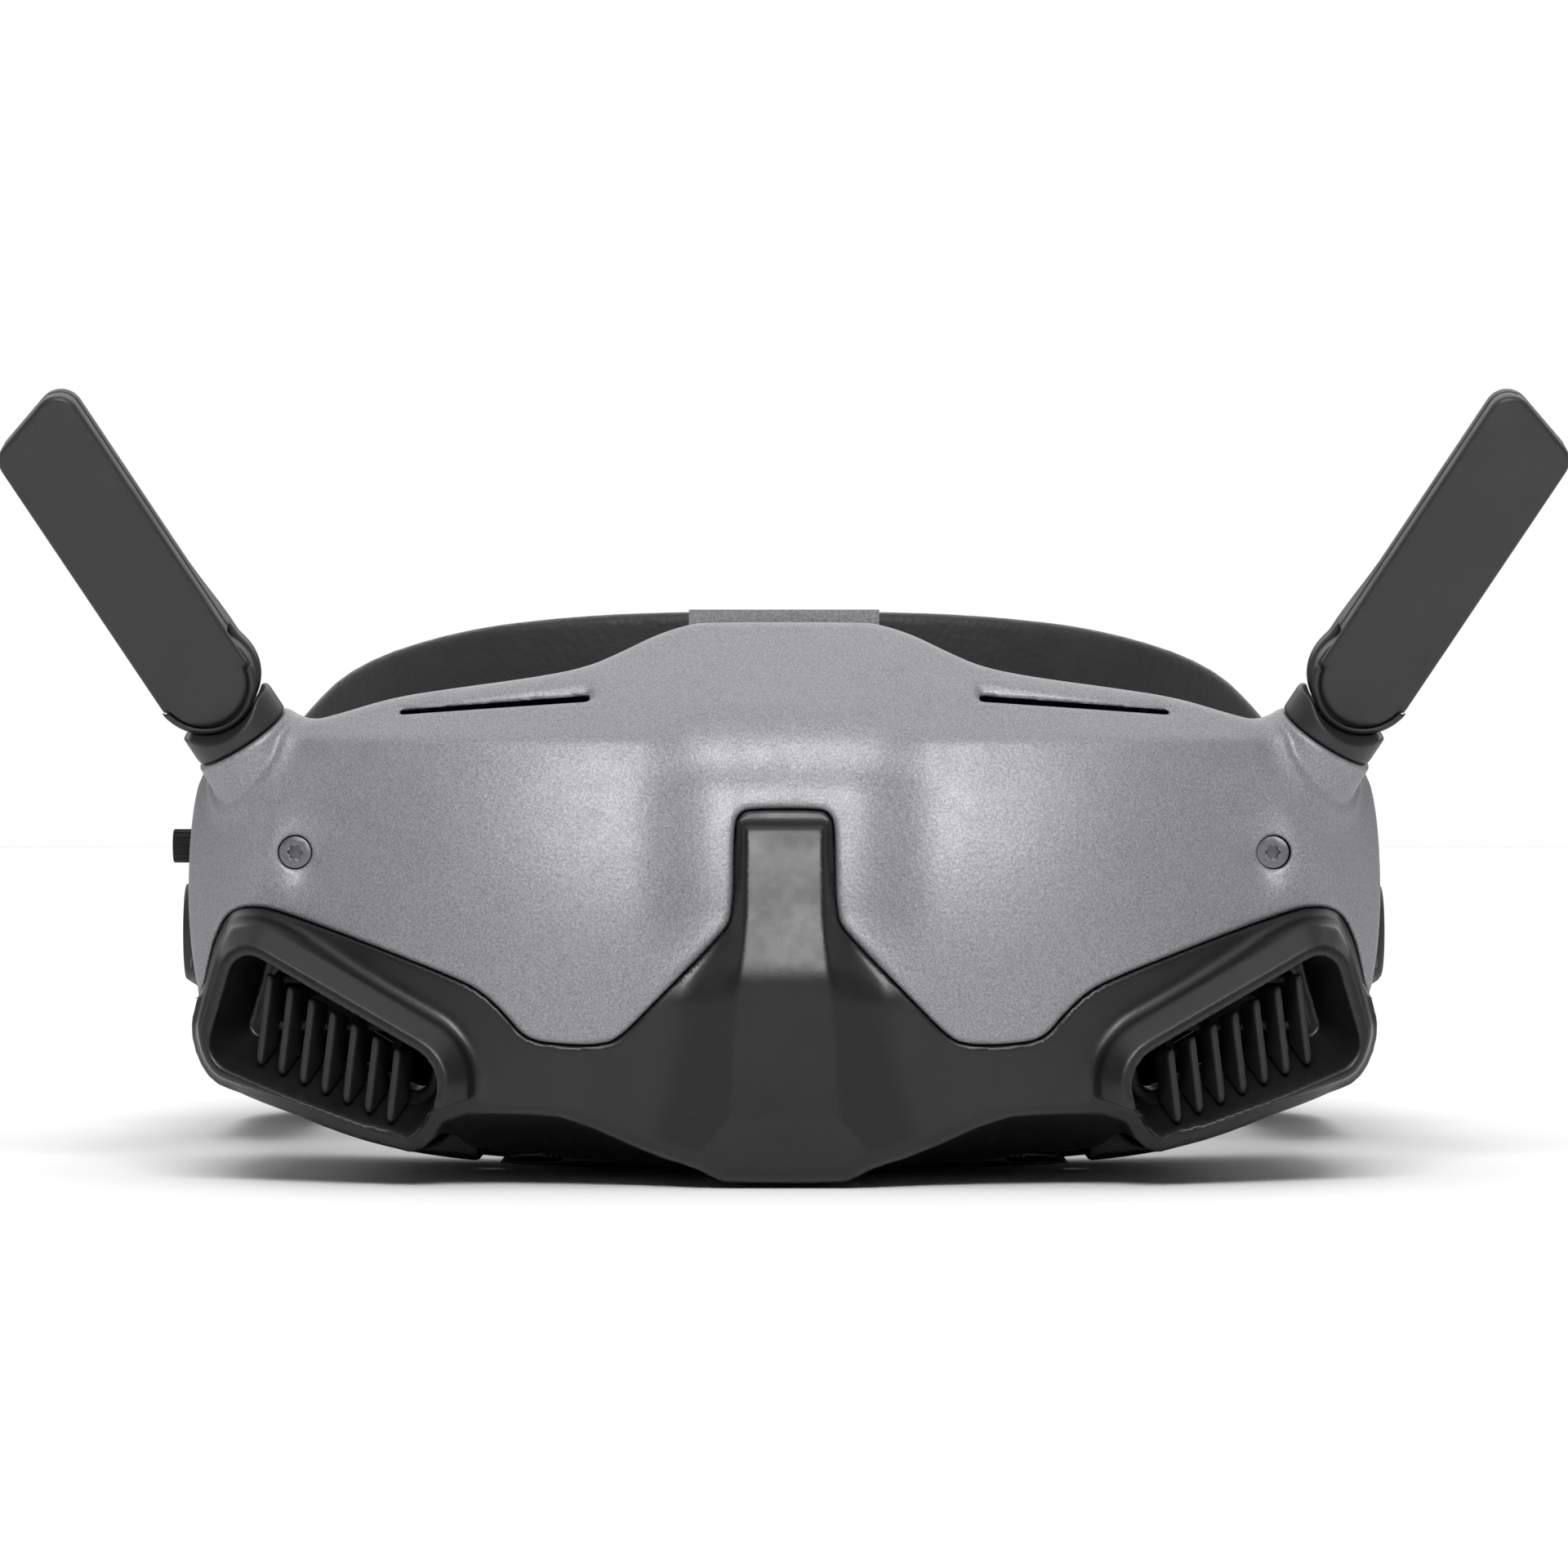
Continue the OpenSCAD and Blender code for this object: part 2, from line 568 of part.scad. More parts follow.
board_y = 22;
board_t = 1.4;
module main_board() color([0.08, 0.25, 0.14]) {
    block(-44 * sx, 44 * sx, board_y, board_y + board_t, 21 * sz, 52 * sz);
    for (x = [-34, -20, 20, 34]) block(x - 5, x + 5, board_y + board_t,
                                       board_y + board_t + 1.2, 28 * sz, 36 * sz);
}
module heat_sink() color(metal) {
    block(-13, 13, board_y - 1.5, board_y, 25 * sz, 43 * sz);
    for (i = [0:6]) block(-13 + i * 4.16, -12 + i * 4.16, board_y - 3.6,
                          board_y - 1.4, 25 * sz, 43 * sz);
}
module eye_sensor() color(black)
    block(-3, 3, panel_y + panel_t, panel_y + panel_t + 1.4, 56 * sz, 59.5 * sz);

fan_x = -58.5 * sx;
fan_z = 20.8 * sz;
fan_y = 25.6;
module fan_frame() color(black) {
    difference() {
        rod_y(fan_y, fan_y + 7, fan_d + 3, fan_x, fan_z);
        rod_y(fan_y - 1, fan_y + 8, fan_d + 1, fan_x, fan_z);
    }
    for (a = [30:120:270]) translate([fan_x, fan_y + 6, fan_z]) rotate([0, a, 0])
        block(0, fan_d / 2 + 1, 0, 1, -0.6, 0.6);
    rod_y(fan_y + 6, fan_y + 7, 7, fan_x, fan_z);
    rod_y(fan_y + 2, fan_y + 6.5, 1.5, fan_x, fan_z);
    block(fan_x - 3, fan_x + 3, fan_y + 1, fan_y + 6, fan_z + fan_d / 2 + 1, 36 * sz);
}
module fan_rotor() color(dark) difference() {
    union() {
        rod_y(fan_y + 0.8, fan_y + 5.4, 7, fan_x, fan_z);
        for (a = [0:360 / 7:359]) translate([fan_x, fan_y + 1.2, fan_z]) rotate([0, a, 0])
            translate([3, 0, 0]) rotate([35, 0, 0])
                block(0, fan_d / 2 - 3.2, 0, 0.8, -1.6, 2.2);
    }
    rod_y(fan_y + 1.8, fan_y + 6, 1.6, fan_x, fan_z);
}

// ------------------------------------------------------------- cushion

module face_ring(front, back, points, hole, grow)
    difference() {
        intersection() {
            frontal(split_y, temple_y + 8) polygon(inset(points, grow));
            face_curve(front);
        }
        face_curve(back);
        frontal(split_y - 1, temple_y + 9) polygon(inset(hole, -grow));
    }
module cushion_frame() color(black)
    face_ring(cushion_t + frame_t, cushion_t, cushion_points, eye_points, 1.2);
module face_cushion() color(dark)
    face_ring(cushion_t, 0, cushion_points, eye_points, 0);
// Soft flap that closes the gap beside the nose, held under the frame.
module nose_flap() color(dark)
    face_ring(cushion_t + frame_t + 1.2, cushion_t + frame_t, nose_points, nose_hole, 0);
nose_points = mirrored(sized([
    [4, 36], [14, 34], [22, 28], [27, 18], [28, 14], [25, 14], [20.5, 21],
    [11, 27.5], [3, 30]]));
nose_hole = mirrored(sized([[3, 32], [4, 31], [3, 30.5]]));

// ------------------------------------------------------------ antennas

tongue_r = 5;
flange_d = 10.8;
module antenna_neck() color(dark) ant_frame() difference() {
    union() {
        difference() {
            translate([0, 0, 0.3]) cylinder(d = neck_d, h = 4);
            translate([0, 0, hinge_up]) rotate([90, 0, 0])
                cylinder(r = knuckle_r + 0.4, h = neck_d + 2, center = true);
        }
        translate([0, 0, -spigot_l - 0.2]) cylinder(d = spigot_d, h = spigot_l + 1);
        translate([0, 0, -spigot_l - 1.4]) cylinder(d = flange_d, h = 1.2);
        translate([-3.4, -tongue_t / 2, 0.5]) cube([6.8, tongue_t, hinge_up]);
        translate([0, 0, hinge_up]) rotate([90, 0, 0])
            cylinder(r = tongue_r, h = tongue_t, center = true);
    }
    translate([0, 0, hinge_up]) rotate([90, 0, 0])
        cylinder(d = 2.5, h = neck_d, center = true);
}
// The paddle's outline: a round knuckle and a straight blade with a slanted tip
// whose corners are rounded; the outer corner is the lower one.
tip_slant = 17.7;
tip_r = 3;
module paddle_outline() {
    w = paddle_w / 2;
    inner = [w - tip_r, paddle_l - 4.5];
    outer = [tip_r - w, inner[1] - 2 * (w - tip_r) * tan(tip_slant)];
    out = tip_r * [-sin(tip_slant), cos(tip_slant)];
    circle(r = knuckle_r);
    for (corner = [inner, outer]) translate(corner) circle(r = tip_r);
    polygon([[-w, 0], [w, 0], [w, inner[1]], inner, inner + out, outer + out, outer,
             [-w, outer[1]]]);
}
module paddle_plate(y0, y1)
    translate([0, y1, hinge_up]) rotate([90, 0, 0]) linear_extrude(y1 - y0)
        paddle_outline();
module paddle_hollow() {
    // Room for the neck's tongue, then room for the element.
    translate([0, 0, hinge_up]) rotate([90, 0, 0])
        cylinder(r = knuckle_r + 0.6, h = tongue_t + 0.4, center = true);
    translate([-paddle_w / 2 + 1.4, -1.2, hinge_up + knuckle_r])
        cube([paddle_w - 2.8, 2.4, paddle_l - knuckle_r - 7.6]);
    translate([0, 0, hinge_up]) rotate([90, 0, 0])
        cylinder(d = 2.4, h = 3.8, center = true);
}
module antenna_face() color(grey) ant_frame() difference() {
    paddle_plate(-paddle_t / 2, 0);
    paddle_hollow();
}
module antenna_back() color(dark) ant_frame() difference() {
    union() {
        paddle_plate(0, paddle_t / 2);
        translate([0, 0, hinge_up]) rotate([-90, 0, 0])
            cylinder(r = knuckle_r, h = paddle_t / 2 + 1.8);
    }
    paddle_hollow();
}
module antenna_element() color([0.75, 0.6, 0.2]) ant_frame()
    translate([-paddle_w / 2 + 1.6, -0.4, hinge_up + knuckle_r + 0.6])
        cube([paddle_w - 3.2, 0.8, paddle_l - knuckle_r - 8.8]);
module antenna_pin() color(metal) ant_frame()
    translate([0, 0, hinge_up]) rotate([90, 0, 0])
        cylinder(d = 2.4, h = 3.8, center = true);

// ------------------------------------------------------------ controls

stick_out = 3.4;                // how far the stick stands out of the flank
module joystick_base() color(dark) difference() {
    rod_x(-half_w + 3.4, -half_w + 7, 9, stick_y, stick_z);
    rod_x(-half_w + 3, -half_w + 5.4, 7, stick_y, stick_z);
}
module joystick_gimbal() color(metal) difference() {
    union() {
        rod_x(-half_w + 3.6, -half_w + 4.8, 6, stick_y, stick_z);
        translate([0, -3.45, 0]) rod_y(stick_y, stick_y + 6.9, 0.9, -half_w + 4.2, stick_z);
    }
    rod_x(-half_w + 3, -half_w + 6, 3.4, stick_y, stick_z);
}
module joystick_cap() color(black) {
    rod_x(-half_w - stick_out, -half_w - 0.6, 4.3, stick_y, stick_z);
    rod_x(-half_w - 0.7, -half_w + 4.8, 2.4, stick_y, stick_z);
    translate([-half_w + 4.2, stick_y, stick_z]) cylinder(d = 0.8, h = 3.2, center = true);
    for (a = [0:24:359]) translate([0, stick_y, stick_z]) rotate([a, 0, 0])
        block(-half_w - stick_out + 0.1, -half_w - 0.7, 2, 2.25, -0.2, 0.2);
}
module side_button(i) color(black) {
    rod_x(-half_w - 0.9, -half_w + 2.4, button_d[i], button_y[i], button_z[i]);
    rod_x(-half_w + 2.4, -half_w + 3.2, button_d[i] + 1.4, button_y[i], button_z[i]);
}
module back_button() side_button(0);
module record_button() side_button(1);
module link_button() side_button(2);
// A pressed metal shell, closed at its inner end.
module port_shell(w, h, z) color(metal) difference() {
    sideways(half_w - 5.8, half_w - 0.6) port_shape(w, h, z);
    sideways(half_w - 5.2, half_w) port_shape(w - 0.8, h - 0.8, z);
}
module usb_socket() port_shell(usb_w, usb_h, usb_z);
module card_slot() port_shell(card_w, card_h, card_z);
module audio_socket() color(metal) difference() {
    rod_x(half_w - 5.8, half_w - 0.5, audio_d, audio_y, audio_z);
    rod_x(half_w - 5, half_w, 3.6, audio_y, audio_z);
}

// ------------------------------------------------------------ headband

module dropped()
    translate([0, pivot_y, pivot_z]) rotate([-band_drop, 0, 0])
        translate([0, -pivot_y, -pivot_z]) children();
module band_pins() color(metal) both() {
    rod_x(-arm_x - arm_t - 0.2, -half_w + 1.2, pivot_d, pivot_y, pivot_z);
}
module band_arm() color(black) dropped() difference() {
    union() {
        rod_x(-arm_x - arm_t, -arm_x, arm_h, pivot_y, pivot_z);
        block(-arm_x - arm_t, -arm_x, pivot_y, pivot_y + arm_l,
              pivot_z - arm_h / 2, pivot_z + arm_h / 2);
    }
    rod_x(-arm_x - arm_t - 1, -arm_x + 1, pivot_d + 0.1, pivot_y, pivot_z);
    block(-arm_x - arm_t - 1, -arm_x + 1, pivot_y + arm_l - 34, pivot_y + arm_l - 5,
          pivot_z - 1.2, pivot_z + 1.2);
}
// A profile (radius, z) swept round the bow, and run forwards as legs.
module bow(a0, a1)
    translate([0, bow_y, pivot_z]) rotate([0, 0, a0])
        rotate_extrude(angle = a1 - a0, $fn = 180) children();
module legs(y0, y1) both()
    translate([0, y1, pivot_z]) rotate([90, 0, 0]) linear_extrude(y1 - y0)
        mirror([1, 0]) children();
module ring_square(r0, r1, z0, z1) translate([r0, z0]) square([r1 - r0, z1 - z0]);
module band_profile() {
    h = band_h / 2;
    ring_square(band_r - leg_wall, band_r, -h, h);
    ring_square(band_in + leg_wall + 0.1, band_r - 0.5, h - leg_wall, h);
    ring_square(band_in + leg_wall + 0.1, band_r - 0.5, -h, -h + leg_wall);
}
button_r = 4;                   // power button radius
module band_outer_shell() color(dark) dropped() difference() {
    union() {
        bow(0, 180) band_profile();
        legs(leg_y, bow_y) band_profile();
        // Inner rail and end wall that guide each arm.
        both() {
            block(-arm_x + fit_gap, -arm_x + fit_gap + leg_wall, leg_y, bow_y,
                  pivot_z - band_h / 2 + 1, pivot_z + band_h / 2 - 1);
            block(-band_r + 1, -band_in - 1.8, leg_y, leg_y + leg_wall,
                  pivot_z - band_h / 2 + 1, pivot_z + band_h / 2 - 1);
        }
    }
    both() block(-arm_x - arm_t - fit_gap, -arm_x + fit_gap, leg_y - 1, bow_y + 1,
                 pivot_z - arm_h / 2 - fit_gap, pivot_z + arm_h / 2 + fit_gap);
    rod_y(bow_y + band_r - 6, bow_y + band_r + 2, 2 * button_r + 0.2, 0, pivot_z + 4);
    block(-4.7, 4.7, bow_y + band_r - 6, bow_y + band_r + 2, pivot_z - 8, pivot_z - 4.6);
}
module band_inner_shell() color(black) dropped() {
    bow(0, 180) ring_square(band_in, band_in + leg_wall, -band_h / 2, band_h / 2);
    legs(leg_y, bow_y)
        ring_square(band_in, band_in + leg_wall, -band_h / 2, band_h / 2);
}
module rear_pad() color(dark) dropped()
    bow(38, 142) ring_square(band_in - pad_t, band_in, -band_h / 2 + 2, band_h / 2 - 2);
module battery(a0) color([0.2, 0.25, 0.4]) dropped()
    bow(a0, a0 + 62) ring_square(band_in + leg_wall, band_in + leg_wall + cell_t,
                                 -band_h / 2 + 2.2, band_h / 2 - 2.2);
module power_button() color(dark) dropped() {
    rod_y(bow_y + band_r - 2.6, bow_y + band_r + 0.5, 2 * button_r, 0, pivot_z + 4);
    rod_y(bow_y + band_r - 3.6, bow_y + band_r - 2.6, 2 * button_r + 2, 0, pivot_z + 4);
}
module charge_socket() color(metal) dropped() difference() {
    block(-4.6, 4.6, bow_y + band_r - 5.5, bow_y + band_r - 0.3, pivot_z - 7.9, pivot_z - 4.7);
    block(-4.1, 4.1, bow_y + band_r - 4.9, bow_y + band_r, pivot_z - 7.4, pivot_z - 5.2);
}

// ------------------------------------------------------------- assembly

module right() mirror([1, 0, 0]) children();
place() front_cover();
place() lower_frame();
place() cover_screws();
place() top_screens();
place() rear_housing();
place() strap_loop();
place() lens_panel();
place() cushion_frame();
place() face_cushion();
place() nose_flap();
place() guide_rods();
place() main_board();
place() heat_sink();
place() eye_sensor();
place() band_pins();
place() usb_socket();
place() card_slot();
place() audio_socket();
place() joystick_base();
place() joystick_gimbal();
place() joystick_cap();
place() back_button();
place() record_button();
place() link_button();
place() band_outer_shell();
place() band_inner_shell();
place() rear_pad();
place() power_button();
place() charge_socket();
place() vent_grille();  // vent_grille_left
place() right() vent_grille();  // vent_grille_right
place() fan_frame();  // fan_frame_left
place() right() fan_frame();  // fan_frame_right
place() fan_rotor();  // fan_rotor_left
place() right() fan_rotor();  // fan_rotor_right
place() barrel();  // barrel_left
place() right() barrel();  // barrel_right
place() lens();  // lens_left
place() right() lens();  // lens_right
place() display();  // display_left
place() right() display();  // display_right
place() ipd_grip();  // ipd_grip_left
place() right() ipd_grip();  // ipd_grip_right
place() antenna_neck();  // antenna_neck_left
place() right() antenna_neck();  // antenna_neck_right
place() antenna_face();  // antenna_face_left
place() right() antenna_face();  // antenna_face_right
place() antenna_back();  // antenna_back_left
place() right() antenna_back();  // antenna_back_right
place() antenna_element();  // antenna_element_left
place() right() antenna_element();  // antenna_element_right
place() antenna_pin();  // antenna_pin_left
place() right() antenna_pin();  // antenna_pin_right
place() band_arm();  // band_arm_left
place() right() band_arm();  // band_arm_right
place() battery(112);  // battery_left
place() battery(6);  // battery_right
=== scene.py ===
"""FPV goggles: the looks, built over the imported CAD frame.

The sculpted shells are made from signed distance fields: each is a formula for how far a
point lies outside the shape, in millimetres, sampled on a grid and turned into a mesh.
Inside the formulas y counts back from the front of the nose ridge, as in the CAD source.
"""
import json
import math

import bmesh
import bpy
import numpy as np
import openvdb
from mathutils import Matrix, Vector


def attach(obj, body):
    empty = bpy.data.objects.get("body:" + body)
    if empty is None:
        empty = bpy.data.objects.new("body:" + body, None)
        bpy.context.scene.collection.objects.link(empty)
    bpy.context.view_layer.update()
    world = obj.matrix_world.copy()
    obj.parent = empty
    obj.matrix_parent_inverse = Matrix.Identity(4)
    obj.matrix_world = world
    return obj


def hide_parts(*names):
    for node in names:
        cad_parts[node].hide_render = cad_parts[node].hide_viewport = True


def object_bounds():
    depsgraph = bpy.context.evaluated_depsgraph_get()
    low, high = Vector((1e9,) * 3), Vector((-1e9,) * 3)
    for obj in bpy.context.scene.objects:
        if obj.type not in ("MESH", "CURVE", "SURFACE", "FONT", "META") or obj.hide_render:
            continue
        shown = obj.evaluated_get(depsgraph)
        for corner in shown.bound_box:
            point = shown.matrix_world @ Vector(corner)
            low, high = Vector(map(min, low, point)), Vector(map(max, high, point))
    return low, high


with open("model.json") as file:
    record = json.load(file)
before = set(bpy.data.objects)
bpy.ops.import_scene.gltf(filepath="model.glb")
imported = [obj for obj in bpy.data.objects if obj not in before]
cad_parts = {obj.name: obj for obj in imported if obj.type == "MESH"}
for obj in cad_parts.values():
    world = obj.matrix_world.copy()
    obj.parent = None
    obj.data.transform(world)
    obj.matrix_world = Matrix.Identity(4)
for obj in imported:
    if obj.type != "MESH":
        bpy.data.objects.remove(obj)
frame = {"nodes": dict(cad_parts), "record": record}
cad_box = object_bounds()
MM = 0.001
FRONT = cad_box[0].y / MM          # row-frame y of the nose ridge
nodes = frame["nodes"]


# ---------------------------------------------------------------- small maths

def ease(a, b, t):
    """0 at a and 1 at b, smooth at both ends."""
    u = np.clip((t - a) / (b - a), 0, 1)
    return u * u * (3 - 2 * u)


def ramp(t, h):
    """0 below zero and t above it, rounded over +-h."""
    return np.where(t < -h, 0, np.where(t > h, t, (t + h) ** 2 / (4 * h)))


def blend_max(a, b, k):
    """Intersection of two fields with an edge rounded over about k."""
    h = np.clip(0.5 + 0.5 * (a - b) / k, 0, 1)
    return b * (1 - h) + a * h + k * h * (1 - h)


def blend_min(a, b, k):
    """Union of two fields with a corner filled over about k."""
    return -blend_max(-a, -b, k)


def mirrored(points):
    """Complete an outline that runs along one side with its mirror image."""
    return points + [(-x, z) for x, z in reversed(points) if x > 0]


def rounded(points, times=2):
    """Cut the corners of a closed outline."""
    p = np.array(points, float)
    for _ in range(times):
        q = np.roll(p, -1, axis=0)
        p = np.stack([0.75 * p + 0.25 * q, 0.25 * p + 0.75 * q], axis=1).reshape(-1, 2)
    return p


def outline_distance(points, x, z):
    """Signed distance from a closed outline on a 2-D grid, negative inside."""
    p = np.asarray(points, float)
    q = np.roll(p, -1, axis=0)
    best = np.full(np.broadcast(x, z).shape, 1e9)
    inside = np.zeros(best.shape, bool)
    for (x0, z0), (x1, z1) in zip(p, q):
        dx, dz = x1 - x0, z1 - z0
        t = np.clip(((x - x0) * dx + (z - z0) * dz) / (dx * dx + dz * dz + 1e-12), 0, 1)
        best = np.minimum(best, (x - x0 - t * dx) ** 2 + (z - z0 - t * dz) ** 2)
        crosses = (z0 > z) != (z1 > z)
        if z1 != z0:
            inside ^= crosses & (x < dx * (z - z0) / (z1 - z0) + x0)
    return np.where(inside, -1, 1) * np.sqrt(best)


def axes(lo, hi, step):
    """Open coordinate arrays of a grid."""
    sides = [np.arange(a, b + step / 2, step) for a, b in zip(lo, hi)]
    return np.meshgrid(*sides, indexing="ij", sparse=True)


def flip(half):
    """A grid for x <= 0, completed with its mirror image."""
    return np.concatenate([half, half[-2::-1]], axis=0)


# ------------------------------------------------------------- mesh from field

def piece_from_field(name, field, lo, step, place=None):
    """Mesh of field = 0, shaded with the field's own gradient."""
    field = np.ascontiguousarray(field, np.float32)
    grid = openvdb.FloatGrid(3 * step)
    grid.copyFromArray(np.clip(field, -3 * step, 3 * step))
    points, tris, quads = grid.convertToPolygons(isovalue=0.0, adaptivity=0.0)
    slope = np.stack(np.gradient(field), axis=-1)
    cell = np.clip(points.astype(int), 0, np.array(field.shape) - 2)
    w = points - cell
    normal = np.zeros_like(points)
    for corner in range(8):
        off = np.array([corner >> 2 & 1, corner >> 1 & 1, corner & 1])
        part = np.prod(np.where(off, w, 1 - w), axis=1)[:, None]
        i, j, k = (cell + off).T
        normal += part * slope[i, j, k]
    normal /= np.linalg.norm(normal, axis=1)[:, None] + 1e-9
    place = place or Matrix.Translation((0, FRONT, 0))
    turn = np.array(place.to_3x3())
    shift = np.array(place.translation)
    world = (points * step + np.array(lo)) @ turn.T + shift
    normal = normal @ turn.T
    faces = [tuple(int(i) for i in f) for f in quads]
    faces += [tuple(int(i) for i in f) for f in tris]
    if faces:
        f = faces[0]
        a, b, c = world[list(f[:3])]
        if np.dot(np.cross(b - a, c - a), normal[f[0]]) * np.linalg.det(turn) < 0:
            faces = [f[::-1] for f in faces]
        if np.linalg.det(turn) < 0:
            faces = [f[::-1] for f in faces]
    mesh = bpy.data.meshes.new(name)
    mesh.from_pydata((world * MM).tolist(), [], faces)
    mesh.shade_smooth()
    mesh.normals_split_custom_set_from_vertices(normal.tolist())
    obj = bpy.data.objects.new(name, mesh)
    bpy.context.collection.objects.link(obj)
    return obj


def dress(obj, body, material, slot, *replaced):
    """Give a piece its body and material, and hide the nodes that it stands for; slot is not used.
    """
    obj.data.materials.clear()
    obj.data.materials.append(material)
    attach(obj, body)
    if replaced:
        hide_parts(*replaced)
    return obj


# ------------------------------------------------------------------ materials

class Nodes:
    """A small builder for node materials."""

    def __init__(self, name):
        self.mat = bpy.data.materials.new(name)
        self.mat.use_nodes = True
        self.tree = self.mat.node_tree
        self.shader = self.tree.nodes["Principled BSDF"]
        self.coords = self.new("ShaderNodeTexCoord").outputs["Object"]

    def new(self, kind, **values):
        node = self.tree.nodes.new(kind)
        for key, value in values.items():
            setattr(node, key, value)
        return node

    def link(self, a, b):
        self.tree.links.new(a, b)

    def noise(self, size_mm, detail=4, rough=0.6, stretch=None):
        node = self.new("ShaderNodeTexNoise")
        node.inputs["Scale"].default_value = 1 / (size_mm * MM)
        node.inputs["Detail"].default_value = detail
        node.inputs["Roughness"].default_value = rough
        self.link(self.place(stretch), node.inputs["Vector"])
        return node.outputs["Fac"]

    def place(self, stretch):
        if not stretch:
            return self.coords
        node = self.new("ShaderNodeMapping")
        node.inputs["Scale"].default_value = stretch
        self.link(self.coords, node.inputs["Vector"])
        return node.outputs["Vector"]

    def cells(self, size_mm, feature="F1", stretch=None):
        node = self.new("ShaderNodeTexVoronoi", feature=feature)
        node.inputs["Scale"].default_value = 1 / (size_mm * MM)
        self.link(self.place(stretch), node.inputs["Vector"])
        return node.outputs["Distance"]

    def between(self, fac, a, b, lo=0.3, hi=0.7):
        """Map fac from lo..hi to a..b."""
        node = self.new("ShaderNodeMapRange")
        node.inputs["From Min"].default_value = lo
        node.inputs["From Max"].default_value = hi
        node.inputs["To Min"].default_value = a
        node.inputs["To Max"].default_value = b
        self.link(fac, node.inputs["Value"])
        return node.outputs["Result"]

    def mix(self, fac, a, b):
        node = self.new("ShaderNodeMix", data_type="RGBA")
        for socket, value in ((node.inputs["A"], a), (node.inputs["B"], b)):
            if isinstance(value, tuple):
                socket.default_value = (*value, 1)
            else:
                self.link(value, socket)
        self.link(fac, node.inputs["Factor"])
        return node.outputs["Result"]

    def bump(self, height, depth_mm, strength=1.0, below=None):
        node = self.new("ShaderNodeBump")
        node.inputs["Strength"].default_value = strength
        node.inputs["Distance"].default_value = depth_mm * MM
        self.link(height, node.inputs["Height"])
        if below:
            self.link(below, node.inputs["Normal"])
        return node.outputs["Normal"]

    def set(self, **values):
        for key, value in values.items():
            socket = self.shader.inputs[key.replace("_", " ")]
            if isinstance(value, bpy.types.NodeSocket):
                self.link(value, socket)
            elif isinstance(value, tuple):
                socket.default_value = (*value, 1)
            else:
                socket.default_value = value
        return self.mat


def moulded(name, dark, light, rough, grain_mm=0.35, depth_mm=0.03, spec=0.45):
    """Spark-textured moulding: fine grain over a slow drift of colour."""
    n = Nodes(name)
    drift = n.between(n.noise(14, 3), 0, 1)
    grain = n.noise(grain_mm, 3, 0.7)
    return n.set(
        Base_Color=n.mix(drift, dark, light),
        Roughness=n.between(n.noise(5, 4), rough - 0.05, rough + 0.06),
        Specular_IOR_Level=spec,
        Normal=n.bump(grain, depth_mm, 0.6, n.bump(n.noise(3.0, 2), 0.02, 0.5)),
    )


def cover_paint():
    """Satin metallic grey with a fine leather grain and a faint flake."""
    n = Nodes("cover_paint")
    flake = n.between(n.noise(0.24, 2, 0.8), 0, 1, 0.38, 0.66)
    drift = n.between(n.noise(22, 3), 0, 1)
    colour = n.mix(drift, (0.185, 0.185, 0.196), (0.21, 0.21, 0.221))
    colour = n.mix(flake, colour, (0.345, 0.345, 0.358))
    grain = n.cells(0.62, "F1")
    fine = n.noise(0.22, 3, 0.7)
    return n.set(
        Base_Color=colour,
        Metallic=0.45,
        Roughness=n.between(n.noise(4, 4), 0.48, 0.56),
        Specular_IOR_Level=0.5,
        Normal=n.bump(fine, 0.03, 0.6, n.bump(grain, 0.06, 0.45)),
    )


def leather(name, dark, light):
    """Soft synthetic leather: pebbled grain, creases, dull sheen."""
    n = Nodes(name)
    drift = n.between(n.noise(9, 4), 0, 1)
    pebble = n.cells(0.9, "F1")
    creases = n.cells(3.2, "DISTANCE_TO_EDGE")
    colour = n.mix(drift, dark, light)
    return n.set(
        Base_Color=colour,
        Roughness=n.between(n.noise(3, 3), 0.5, 0.62),
        Specular_IOR_Level=0.4,
        Sheen_Weight=0.25,
        Sheen_Roughness=0.5,
        Normal=n.bump(pebble, 0.12, 0.5, n.bump(creases, 0.08, 0.3)),
    )


def metal(name, colour, rough, brushed=(1, 1, 1)):
    n = Nodes(name)
    streaks = n.noise(0.5, 4, 0.7, brushed)
    shade = tuple(c * 0.8 for c in colour)
    return n.set(
        Base_Color=n.mix(n.between(streaks, 0, 1), shade, colour),
        Metallic=1.0,
        Roughness=n.between(streaks, rough - 0.06, rough + 0.08),
        Normal=n.bump(streaks, 0.01, 0.4),
    )


def lens_glass():
    n = Nodes("lens_glass")
    tint = n.mix(n.between(n.noise(18, 2), 0, 1), (0.85, 0.92, 0.95), (0.95, 0.9, 0.98))
    return n.set(
        Base_Color=tint,
        Roughness=n.between(n.noise(6, 3), 0.01, 0.05),
        Transmission_Weight=0.85,
        IOR=1.49,
        Coat_Weight=0.5,
    )


def circuit_board():
    n = Nodes("circuit_board")
    tracks = n.cells(1.4, "DISTANCE_TO_EDGE", (1, 0.2, 1))
    return n.set(
        Base_Color=n.mix(n.between(tracks, 0, 1, 0.02, 0.08), (0.35, 0.28, 0.1),
                         (0.015, 0.09, 0.04)),
        Roughness=n.between(n.noise(2, 3), 0.3, 0.45),
        Normal=n.bump(tracks, 0.04, 0.5),
    )


def wrapped_cell():
    n = Nodes("wrapped_cell")
    folds = n.noise(6, 4, 0.6, (1, 1, 0.3))
    return n.set(
        Base_Color=n.mix(n.between(folds, 0, 1), (0.02, 0.04, 0.14), (0.03, 0.06, 0.2)),
        Roughness=0.25,
        Normal=n.bump(folds, 0.15, 0.5),
    )


